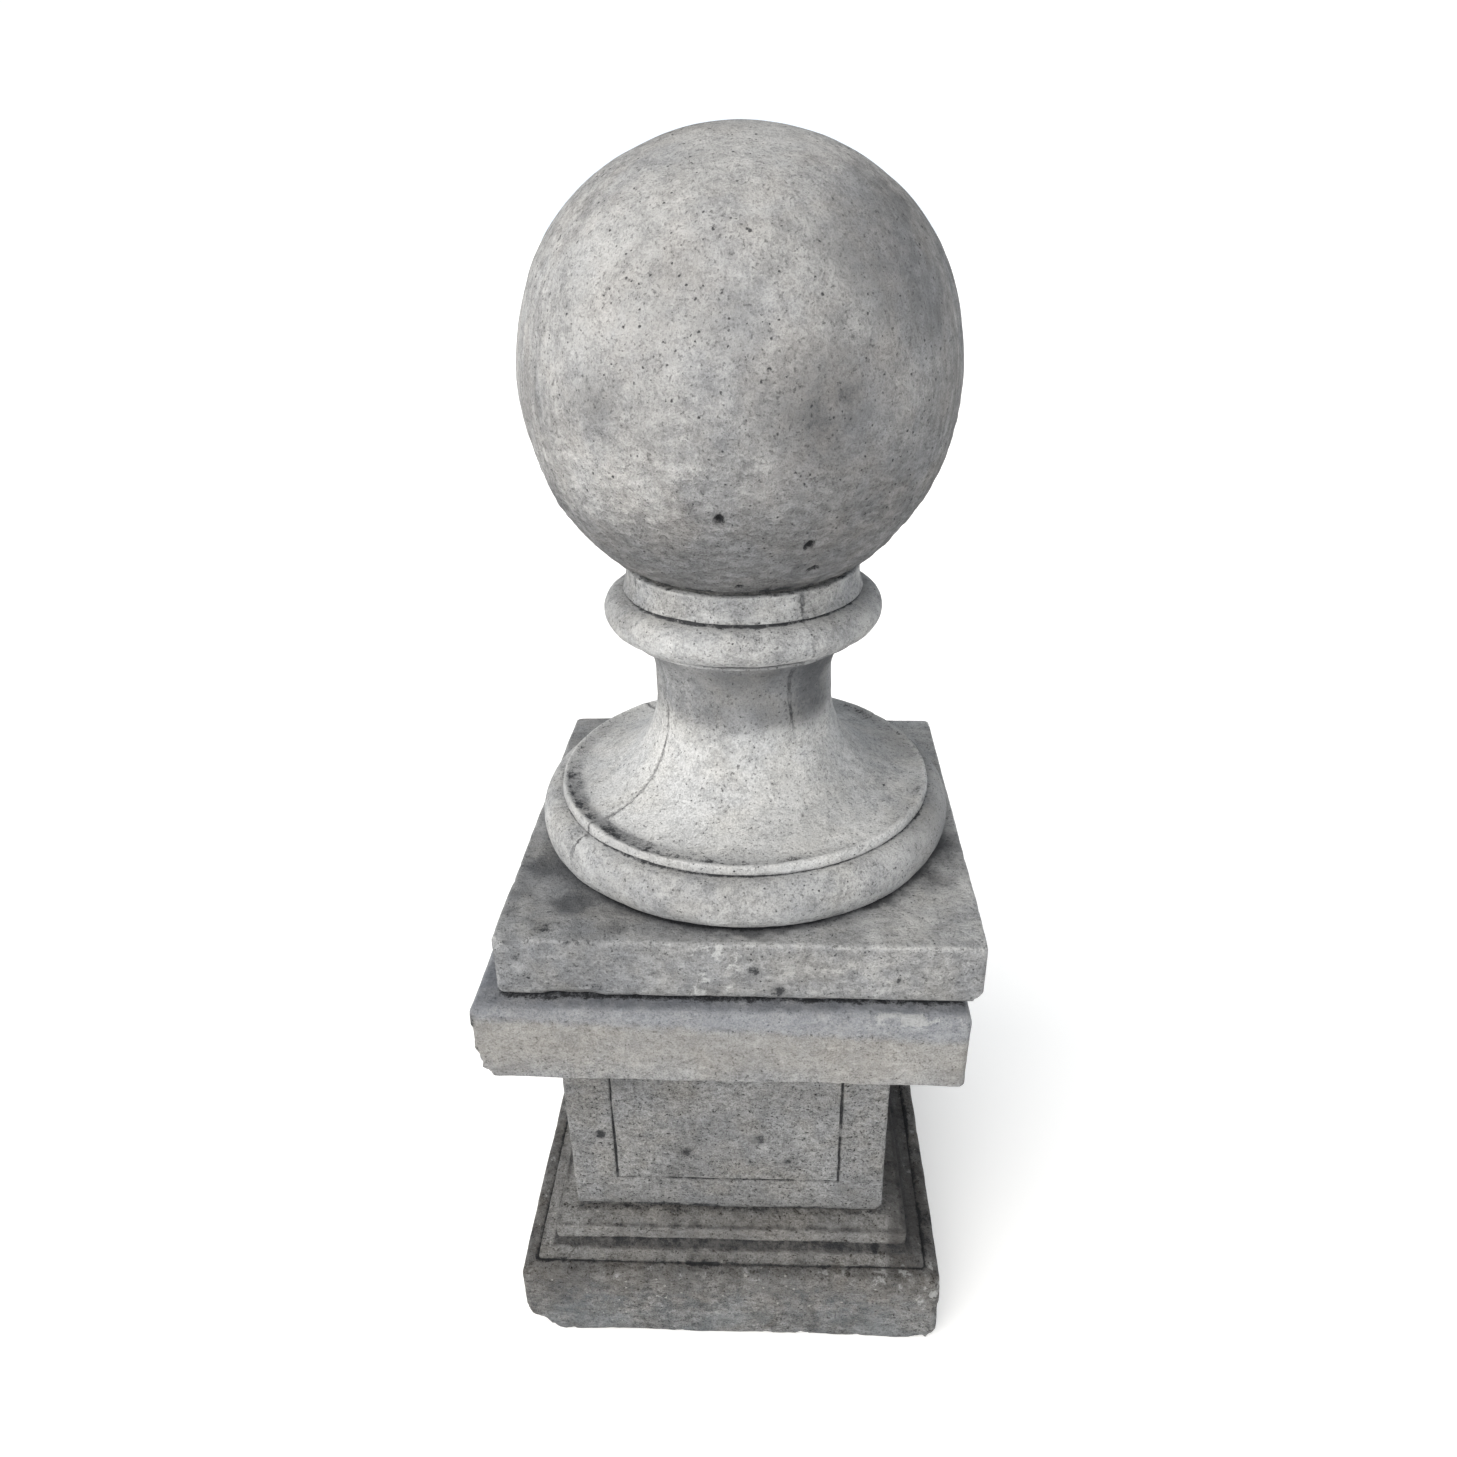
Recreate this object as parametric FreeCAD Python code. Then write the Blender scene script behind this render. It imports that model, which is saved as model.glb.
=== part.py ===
import FreeCAD, Part
import math
import os

# A cast-stone ball finial standing on a square garden pedestal.
# Millimetres, +Z up, -Y is the front. The origin is the centre of the pedestal's underside.
# From the ground up: base, mortar, die, mortar, cap, then the finial: socle, mortar, dowel, ball.

Vector = FreeCAD.Vector
UP = Vector(0, 0, 1)

# ---- Pedestal base: a square plinth that steps in to a cove and a fillet ----
plinth_half = 233.0
plinth_height = 100.5
plinth_arris = 6.0
base_corner = 7.0
cove_foot_half = 216.5
cove_foot_height = 2.0
cove_start_half = 214.5
cove_end_half = 195.5
cove_height = 11.0
cove_steps = 6
fillet_half = 197.5
fillet_height = 18.5
bed_margin = 4.0
bed_rise = 2.5
base_height = plinth_height + cove_foot_height + cove_height + fillet_height + bed_rise

# ---- Mortar beds ----
mortar_thickness = 4.0
mortar_recess = 3.0

# ---- Die: the square block between base and cap, with an incised panel on each face ----
die_half = 173.5
die_height = 255.0
die_corner = 3.0
die_shift_x = -2.5
panel_half_width = 123.5
panel_bottom_margin = 45.0
panel_top_margin = 45.0
panel_line_width = 3.0
panel_line_depth = 2.5

# ---- Cap: a square slab whose top arris is worn round ----
cap_half = 237.5
cap_height = 89.0
cap_corner = 7.0
cap_top_arris = 11.0
cap_bottom_arris = 3.0
cap_shift_x = -3.5
cap_turn_degrees = -0.4

# ---- Finial, laid dry on the cap a little off centre, as it has been knocked ----
finial_shift_x = 16.0
finial_shift_y = 10.0
finial_turn_degrees = -0.6

# Square foot of the socle, cast in one with the turned stem above it
foot_half = 230.5
foot_height = 67.0
foot_corner = 6.0
foot_top_arris = 4.0
foot_bottom_arris = 8.0

# Turned stem, heights above the finial's underside
low_torus_quirk_height = 1.0
low_torus_foot_radius = 203.5
low_torus_radius = 218.5
low_torus_top_radius = 199.0
low_torus_height = 50.0
quirk_depth = 3.0
quirk_height = 2.5
rim_radius = 196.5
rim_draft = 2.0
rim_inner_radius = 189.0
rim_height = 9.0
rim_step = 1.5
neck_radius = 90.6
neck_start_height = 221.0
neck_end_height = 248.0
neck_flare_radius = 50.0
listel_inner_radius = 113.0
listel_radius = 118.0
listel_height = 4.0
high_torus_end_radius = 120.0
high_torus_radius = 138.6
high_torus_height = 36.5
collar_foot_radius = 118.4
collar_waist_radius = 115.4
collar_top_radius = 116.5
collar_height = 26.0

# ---- Ball and its dowel ----
ball_radius = 200.0
ball_bed_height = 167.0
ball_mortar_thickness = 3.5
ball_mortar_radius = 109.0
dowel_radius = 10.0
dowel_clearance = 1.0
dowel_length = 120.0
dowel_end_gap = 2.0


def point(radius, height):
    """A point of a turned profile, in the XZ plane."""
    return Vector(radius, 0, height)


def line(start, end):
    return Part.LineSegment(start, end).toShape()


def arc(start, middle, end):
    return Part.Arc(start, middle, end).toShape()


def polyline(points):
    """Straight edges from each point to the next."""
    return [line(points[i], points[i + 1]) for i in range(len(points) - 1)]


def bulge(start, end, radius):
    """A convex arc between two points of a turned profile that reaches out to the given radius."""
    return arc(start, point(radius, (start.z + end.z) / 2), end)


def revolve(edges):
    """Turns a closed profile, given as edges in order, about the Z axis into a solid."""
    face = Part.Face(Part.Wire(edges))
    return face.revolve(Vector(0, 0, 0), UP, 360)


def lies_level(edge, height):
    """True if both ends of the edge are at this height."""
    return all(abs(vertex.Point.z - height) < 0.001 for vertex in edge.Vertexes)


def square_block(half, height, corner, top_arris, bottom_arris):
    """A square slab on z = 0 with rounded corners and arrises."""
    block = Part.makeBox(2 * half, 2 * half, height, Vector(-half, -half, 0))
    upright = [e for e in block.Edges if abs(e.Vertexes[0].Point.z - e.Vertexes[1].Point.z) > 1]
    block = block.makeFillet(corner, upright)
    for level, radius in ((height, top_arris), (0.0, bottom_arris)):
        if radius > 0:
            block = block.makeFillet(radius, [e for e in block.Edges if lies_level(e, level)])
    return block


def square_moulding(points):
    """A square moulding with mitred corners, whose outline in the XZ plane climbs through the points."""
    pieces = []
    for lower, upper in zip(points, points[1:]):
        if upper.z > lower.z:
            outlines = [Part.makePolygon(square_corners(p.x, p.z), True) for p in (lower, upper)]
            pieces.append(Part.makeLoft(outlines, True, True))
    solid = pieces[0]
    for piece in pieces[1:]:
        solid = solid.fuse(piece)
    return solid.removeSplitter()


def square_corners(half, height):
    """The four corners of a level square about the Z axis."""
    return [Vector(x * half, y * half, height) for x, y in ((-1, -1), (1, -1), (1, 1), (-1, 1))]


def cove_points(start_half, start_z, end_half, end_z, steps):
    """Points of a hollow quarter curve that starts level and ends upright."""
    points = []
    for step in range(steps + 1):
        angle = math.radians(90 * step / steps)
        half = end_half + (start_half - end_half) * (1 - math.sin(angle))
        points.append(Vector(half, 0, start_z + (end_z - start_z) * (1 - math.cos(angle))))
    return points


def make_base():
    """Plinth, then a cove that ends under a square fillet, then a bed that rises to the die."""
    plinth = square_block(plinth_half, plinth_height, base_corner, plinth_arris, 0)
    cove_base = plinth_height + cove_foot_height
    cove_top = cove_base + cove_height
    fillet_top = cove_top + fillet_height
    outline = [point(cove_foot_half, plinth_height), point(cove_foot_half, cove_base)]
    outline += cove_points(cove_start_half, cove_base, cove_end_half, cove_top, cove_steps)
    outline += [point(fillet_half, cove_top), point(fillet_half, fillet_top)]
    outline += [point(die_half + bed_margin, fillet_top + bed_rise)]
    return plinth.fuse(square_moulding(outline)).removeSplitter()


def make_mortar_bed(bottom, half):
    """A thin square bed, pointed back from the faces of the stones it joins."""
    side = 2 * (half - mortar_recess)
    return Part.makeBox(side, side, mortar_thickness, Vector(-side / 2, -side / 2, bottom))


def panel_lines():
    """Cutters for the incised panel outline of the front face."""
    low = panel_bottom_margin
    high = die_height - panel_top_margin
    reach = 1.0
    depth = panel_line_depth + reach
    front = -die_half - reach
    width = 2 * panel_half_width
    cutters = []
    for z in (low, high):
        corner = Vector(-panel_half_width, front, z - panel_line_width / 2)
        cutters.append(Part.makeBox(width, depth, panel_line_width, corner))
    for x in (-panel_half_width, panel_half_width):
        corner = Vector(x - panel_line_width / 2, front, low - panel_line_width / 2)
        cutters.append(Part.makeBox(panel_line_width, depth, high - low + panel_line_width, corner))
    return cutters


def make_die():
    block = square_block(die_half, die_height, die_corner, 0, 0)
    for turn in range(4):
        for cutter in panel_lines():
            cutter.rotate(Vector(0, 0, 0), UP, 90 * turn)
            block = block.cut(cutter)
    return block


def make_stem():
    """The turned part of the socle: lower torus, rim, bell, neck, upper torus and collar."""
    torus_base = foot_height
    torus_foot = torus_base + low_torus_quirk_height
    torus_top = torus_base + low_torus_height
    rim_base = torus_top + quirk_height
    rim_top = rim_base + rim_height
    bell_base = rim_top - rim_step
    flare_rise = neck_flare_radius - (listel_inner_radius - neck_radius)
    flare_top = neck_end_height + math.sqrt(neck_flare_radius ** 2 - flare_rise ** 2)
    listel_top = flare_top + listel_height
    high_base = listel_top + quirk_height
    high_top = high_base + high_torus_height
    collar_base = high_top + quirk_height
    collar_top = collar_base + collar_height

    edges = polyline([point(0, 0), point(low_torus_foot_radius - quirk_depth, 0),
                      point(low_torus_foot_radius - quirk_depth, torus_foot),
                      point(low_torus_foot_radius, torus_foot)])
    edges.append(bulge(point(low_torus_foot_radius, torus_foot),
                       point(low_torus_top_radius, torus_top), low_torus_radius))
    edges += polyline([point(low_torus_top_radius, torus_top),
                       point(rim_radius - quirk_depth, torus_top),
                       point(rim_radius - quirk_depth, rim_base),
                       point(rim_radius, rim_base),
                       point(rim_radius - rim_draft, rim_top),
                       point(rim_inner_radius, rim_top),
                       point(rim_inner_radius, bell_base)])
    edges.append(bell_curve(point(rim_inner_radius, bell_base), point(neck_radius, neck_start_height)))
    edges.append(line(point(neck_radius, neck_start_height), point(neck_radius, neck_end_height)))
    half_angle = math.acos(flare_rise / neck_flare_radius) / 2
    flare_centre = point(neck_radius + neck_flare_radius, neck_end_height)
    flare_middle = flare_centre + point(-neck_flare_radius * math.cos(half_angle),
                                        neck_flare_radius * math.sin(half_angle))
    edges.append(arc(point(neck_radius, neck_end_height), flare_middle,
                     point(listel_inner_radius, flare_top)))
    edges += polyline([point(listel_inner_radius, flare_top),
                       point(listel_radius, flare_top),
                       point(listel_radius, listel_top),
                       point(listel_radius - quirk_depth, listel_top),
                       point(listel_radius - quirk_depth, high_base),
                       point(high_torus_end_radius, high_base)])
    edges.append(bulge(point(high_torus_end_radius, high_base),
                       point(high_torus_end_radius, high_top), high_torus_radius))
    edges += polyline([point(high_torus_end_radius, high_top),
                       point(collar_foot_radius - quirk_depth, high_top),
                       point(collar_foot_radius - quirk_depth, collar_base),
                       point(collar_foot_radius, collar_base)])
    edges.append(arc(point(collar_foot_radius, collar_base),
                     point(collar_waist_radius, (collar_base + collar_top) / 2),
                     point(collar_top_radius, collar_top)))
    edges += polyline([point(collar_top_radius, collar_top), point(0, collar_top), point(0, 0)])
    return revolve(edges), collar_top


def bell_curve(low, high):
    """A hollow round arc from low that ends upright at high."""
    run = low.x - high.x
    rise = high.z - low.z
    radius = (run ** 2 + rise ** 2) / (2 * run)
    centre = point(high.x + radius, high.z)
    end_angle = math.atan2(centre.z - low.z, centre.x - low.x)
    middle = centre - point(radius * math.cos(end_angle / 2), radius * math.sin(end_angle / 2))
    return arc(low, middle, high)


def dowel_hole(bottom, length):
    return Part.makeCylinder(dowel_radius + dowel_clearance, length, Vector(0, 0, bottom))


def make_finial():
    """All pieces of the finial about their own axis, with the socle's underside at z = 0."""
    stem, collar_top = make_stem()
    foot = square_block(foot_half, foot_height, foot_corner, foot_top_arris, foot_bottom_arris)
    socle = foot.fuse(stem).removeSplitter()

    bed_top = collar_top + ball_mortar_thickness
    ball_centre = Vector(0, 0, bed_top + ball_bed_height)
    below_bed = Part.makeBox(2 * ball_radius, 2 * ball_radius, ball_radius,
                             Vector(-ball_radius, -ball_radius, bed_top - ball_radius))
    ball = Part.makeSphere(ball_radius, ball_centre).cut(below_bed)
    mortar = Part.makeCylinder(ball_mortar_radius, ball_mortar_thickness, Vector(0, 0, collar_top))

    dowel_bottom = bed_top - ball_mortar_thickness / 2 - dowel_length / 2
    dowel = Part.makeCylinder(dowel_radius, dowel_length, Vector(0, 0, dowel_bottom))
    hole = dowel_hole(dowel_bottom - dowel_end_gap, dowel_length + 2 * dowel_end_gap)
    return {
        "socle": socle.cut(hole),
        "ball_mortar": mortar.cut(hole),
        "ball": ball.cut(hole),
        "ball_dowel": dowel,
    }


def main():
    os.makedirs("parts", exist_ok=True)
    die_bottom = base_height + mortar_thickness
    die_top = die_bottom + die_height
    cap_bottom = die_top + mortar_thickness
    cap_top = cap_bottom + cap_height

    die = make_die()
    die.translate(Vector(die_shift_x, 0, die_bottom))
    die_mortar = make_mortar_bed(base_height, die_half)
    die_mortar.translate(Vector(die_shift_x, 0, 0))
    cap_mortar = make_mortar_bed(die_top, die_half)
    cap_mortar.translate(Vector(die_shift_x, 0, 0))
    cap = square_block(cap_half, cap_height, cap_corner, cap_top_arris, cap_bottom_arris)
    cap.rotate(Vector(0, 0, 0), UP, cap_turn_degrees)
    cap.translate(Vector(cap_shift_x, 0, cap_bottom))
    pieces = {
        "base": make_base(),
        "die_mortar": die_mortar,
        "die": die,
        "cap_mortar": cap_mortar,
        "cap": cap,
    }
    for name, shape in make_finial().items():
        shape.rotate(Vector(0, 0, 0), UP, finial_turn_degrees)
        shape.translate(Vector(finial_shift_x, finial_shift_y, cap_top))
        pieces[name] = shape

    for name, shape in pieces.items():
        print(name, "solids", len(shape.Solids), "valid", shape.isValid(),
              "litres", round(shape.Volume / 1e6, 3), "top", round(shape.optimalBoundingBox().ZMax, 1))
        shape.exportStep("parts/" + name + ".step")


main()
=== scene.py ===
import math

import bpy
import numpy as np
from mathutils import Matrix, Vector


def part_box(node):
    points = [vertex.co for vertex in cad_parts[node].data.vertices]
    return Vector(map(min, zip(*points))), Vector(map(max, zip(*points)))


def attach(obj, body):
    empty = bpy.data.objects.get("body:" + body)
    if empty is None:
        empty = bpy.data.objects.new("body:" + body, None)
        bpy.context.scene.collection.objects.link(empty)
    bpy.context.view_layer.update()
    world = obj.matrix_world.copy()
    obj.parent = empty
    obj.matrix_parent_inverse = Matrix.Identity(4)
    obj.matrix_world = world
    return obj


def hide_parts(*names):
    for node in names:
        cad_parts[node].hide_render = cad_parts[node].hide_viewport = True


# A weathered cast-stone ball finial on a square pedestal. +Z up, -Y is the front.
# Shapes are worked out in millimetres, as in the CAD, and written to the meshes in metres.
# Each stone is one closed skin: rings of points laid on its outline, then worn, chipped and pitted.

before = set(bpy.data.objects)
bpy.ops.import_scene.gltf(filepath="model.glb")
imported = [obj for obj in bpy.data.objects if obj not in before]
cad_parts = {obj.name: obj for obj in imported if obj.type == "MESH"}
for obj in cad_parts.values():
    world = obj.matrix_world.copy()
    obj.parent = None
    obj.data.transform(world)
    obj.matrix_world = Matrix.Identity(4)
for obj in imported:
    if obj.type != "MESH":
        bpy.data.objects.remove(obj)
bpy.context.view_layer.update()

TO_MM = 1000.0
QUARTER = math.pi / 2


def box_mm(node):
    """Lowest and highest corner of a CAD node, in millimetres."""
    low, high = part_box(node)
    return np.array(low) * TO_MM, np.array(high) * TO_MM


# ================================================================ noise

def hashed(cells, seed):
    """A repeatable value from 0 to 1 for each whole-number cell."""
    h = (cells[..., 0] * 73856093) ^ (cells[..., 1] * 19349663) ^ (cells[..., 2] * 83492791)
    h = (h ^ (seed * 2654435761)) & 0xFFFFFFFF
    h = ((h ^ (h >> 15)) * 2246822519) & 0xFFFFFFFF
    h = ((h ^ (h >> 13)) * 3266489917) & 0xFFFFFFFF
    return ((h ^ (h >> 16)) & 0xFFFFFF) / float(0xFFFFFF)


def noise(points, size, seed):
    """Smooth noise from -1 to 1 whose bumps are about size across."""
    scaled = points / size
    cell = np.floor(scaled).astype(np.int64)
    part = scaled - cell
    ease = part * part * part * (part * (part * 6 - 15) + 10)
    total = np.zeros(points.shape[:-1])
    for corner in np.ndindex(2, 2, 2):
        weight = np.prod(np.where(np.array(corner) == 1, ease, 1 - ease), axis=-1)
        total += weight * hashed(cell + np.array(corner), seed)
    return total * 2 - 1


def fractal(points, size, octaves, seed):
    """Noise with finer and weaker layers added to it."""
    total = np.zeros(points.shape[:-1])
    for octave in range(octaves):
        total += noise(points, size / 2 ** octave, seed + octave) / 2 ** octave
    return total


def ramp(values, low, high):
    """0 below low, 1 above high, and a smooth rise between. It falls if low is above high."""
    t = np.clip((values - low) / (high - low), 0, 1)
    return t * t * (3 - 2 * t)


def spot(points, centre, size):
    """1 at the centre, falling to nothing at about twice size away."""
    away = np.sum((points - np.array(centre)) ** 2, -1)
    return np.exp(-away / size ** 2)


def spots(points, *marks):
    """Several spots added up. Each is given as its strength, its centre and its size."""
    return sum(strength * spot(points, centre, size) for strength, centre, size in marks)


def hump(values, middle, width):
    """1 at the middle value, falling to nothing at about twice width to either side."""
    return np.exp(-((values - middle) / width) ** 2)


# ================================================================ outlines, as (out, up) pairs

def arc(centre, radius, start_degrees, end_degrees, step):
    """Points of a round stretch of an outline."""
    sweep = math.radians(end_degrees - start_degrees)
    count = max(3, round(abs(sweep) * radius / step))
    angles = np.linspace(math.radians(start_degrees), math.radians(end_degrees), count + 1)
    return [(centre[0] + radius * math.cos(a), centre[1] + radius * math.sin(a)) for a in angles]


def bulge(low, high, reach, step):
    """A round convex stretch between two points that swells out to reach at the middle."""
    swell = reach - (low[0] + high[0]) / 2
    half = (high[1] - low[1]) / 2
    count = round(math.pi * half / step)
    points = []
    for t in np.linspace(0, 1, count + 1):
        angle = math.pi * (t - 0.5)
        points.append((low[0] + (high[0] - low[0]) * t + swell * math.cos(angle),
                       low[1] + half * (1 + math.sin(angle))))
    return points


def filled(points, step):
    """Adds points so that no stretch of the outline is longer than step."""
    result = [points[0]]
    for a, b in zip(points, points[1:]):
        count = max(1, math.ceil(math.dist(a, b) / step))
        for i in range(1, count + 1):
            result.append(tuple(np.add(a, np.subtract(b, a) * i / count)))
    return result


# ================================================================ rings

def square_ring(stations, corner_steps, half, corner):
    """A ring on a square with rounded corners. Stations run from -1 to 1 along each straight side."""
    corner = min(corner, 0.9 * half)
    straight = half - corner
    side = np.stack([stations * straight, np.full(len(stations), -half)], -1)
    bend = np.linspace(-QUARTER, 0, corner_steps + 2)[1:-1]
    turn = np.stack([straight + corner * np.cos(bend), -straight + corner * np.sin(bend)], -1)
    quarter = np.concatenate([side, turn])
    ring = []
    for cosine, sine in ((1, 0), (0, 1), (-1, 0), (0, -1)):
        ring.append(quarter @ np.array([[cosine, sine], [-sine, cosine]]))
    return np.concatenate(ring)


def round_angles(side_count, corner_steps):
    """Even angles whose columns meet those of a square ring at its corners and mid-sides."""
    quarter = side_count + corner_steps
    index = np.arange(4 * quarter)
    return -QUARTER + (index - (side_count - 1) / 2) * QUARTER / quarter


def round_ring(angles, radius):
    return np.stack([radius * np.cos(angles), radius * np.sin(angles)], -1)


def raised(ring, height):
    return np.concatenate([ring, np.full((len(ring), 1), float(height))], -1)


class Skin:
    """The surface of one stone, as rows of points. Each row is a ring around the upright axis."""

    def __init__(self, rings, tube=False):
        self.points = np.array(rings)
        self.tube = tube
        self.fields = {}

    def neighbours(self, points):
        """The points of the rows below and above."""
        below = np.roll(points, 1, 0)
        above = np.roll(points, -1, 0)
        if not self.tube:
            below[0] = points[0]
            above[-1] = points[-1]
        return below, above

    def normals(self):
        around = np.roll(self.points, -1, 1) - np.roll(self.points, 1, 1)
        below, above = self.neighbours(self.points)
        outward = np.cross(around, above - below)
        return outward / np.maximum(np.linalg.norm(outward, axis=-1, keepdims=True), 1e-9)

    def blurred(self, rounds):
        """The points after each has moved towards its neighbours a number of times."""
        points = self.points
        for _ in range(rounds):
            below, above = self.neighbours(points)
            beside = np.roll(points, 1, 1) + np.roll(points, -1, 1)
            points = points / 2 + (below + above + beside) / 8
        return points

    def round_off(self, rounds, share):
        """Wears sharp edges away, by a share that may differ from point to point."""
        self.points = self.points + (self.blurred(rounds) - self.points) * share[..., None]

    def push(self, distance):
        """Moves each point out of the stone by its distance, or into it where that is negative."""
        self.points = self.points + self.normals() * distance[..., None]

    def chip(self, at, out, size, depth, seed):
        """Knocks off whatever is nearer than size to a point just outside the stone, in a rough scoop."""
        out = np.array(out, float)
        out /= np.linalg.norm(out)
        centre = np.array(at) + out * (size - depth)
        away = self.points - centre
        distance = np.linalg.norm(away, axis=-1)
        reach = size * (1 + 0.13 * fractal(self.points, 0.7 * size, 3, seed))
        inside = distance < reach
        scale = np.where(inside, reach / np.maximum(distance, 1e-6), 1)
        self.points = centre + away * scale[..., None]
        fresh = self.fields.setdefault("chip", np.zeros(distance.shape))
        fresh[inside] = 1

    def pit(self, at, size, depth):
        """Sinks a small round hole."""
        sunk = ramp(np.linalg.norm(self.points - np.array(at), axis=-1), size, 0.45 * size)
        dark = self.fields.setdefault("hole", np.zeros(sunk.shape))
        np.maximum(dark, sunk, out=dark)
        self.push(-depth * sunk)

    def hollows(self, rounds, depth):
        """From 0 to 1, how far each point lies below its surroundings."""
        return ramp(np.sum((self.blurred(rounds) - self.points) * self.normals(), -1), 0.1 * depth, depth)

    def edges(self, rounds, height):
        """From 0 to 1, how far each point stands above its surroundings."""
        return ramp(np.sum((self.points - self.blurred(rounds)) * self.normals(), -1), 0.1 * height, height)

    def place(self, turn_degrees, shift):
        """Turns the skin about the upright axis, then moves it."""
        turn = np.array(Matrix.Rotation(math.radians(turn_degrees), 3, "Z"))
        self.points = self.points @ turn.T + np.array(shift)

    def keep_between(self, low, high):
        self.points[..., 2] = np.clip(self.points[..., 2], low, high)

    def to_object(self, name):
        """Makes the closed mesh and its object."""
        rows, columns, _ = self.points.shape
        index = np.arange(rows * columns).reshape(rows, columns)
        upper = np.roll(index, -1, 0)
        if not self.tube:
            index, upper = index[:-1], index[1:]
        after, upper_after = np.roll(index, -1, 1), np.roll(upper, -1, 1)
        faces = np.stack([index, after, upper_after, upper], -1).reshape(-1, 4).tolist()
        vertices = self.points.reshape(-1, 3)
        ends = []
        if not self.tube:
            ends = [self.points[0].mean(0), self.points[-1].mean(0)]
            low_end, high_end = rows * columns, rows * columns + 1
            faces += [(low_end, b, a) for a, b in zip(index[0].tolist(), after[0].tolist())]
            faces += [(high_end, a, b) for a, b in zip(upper[-1].tolist(), upper_after[-1].tolist())]
            vertices = np.concatenate([vertices, ends])
        mesh = bpy.data.meshes.new(name)
        mesh.from_pydata((vertices / TO_MM).tolist(), [], faces)
        for key, values in self.fields.items():
            flat = np.zeros(len(vertices), np.float32)
            flat[:rows * columns] = values.reshape(-1)
            mesh.attributes.new(key, "FLOAT", "POINT").data.foreach_set("value", flat)
        mesh.shade_smooth()
        mesh.update()
        piece = bpy.data.objects.new(name, mesh)
        bpy.context.scene.collection.objects.link(piece)
        return piece


# ================================================================ procedural stone

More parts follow.
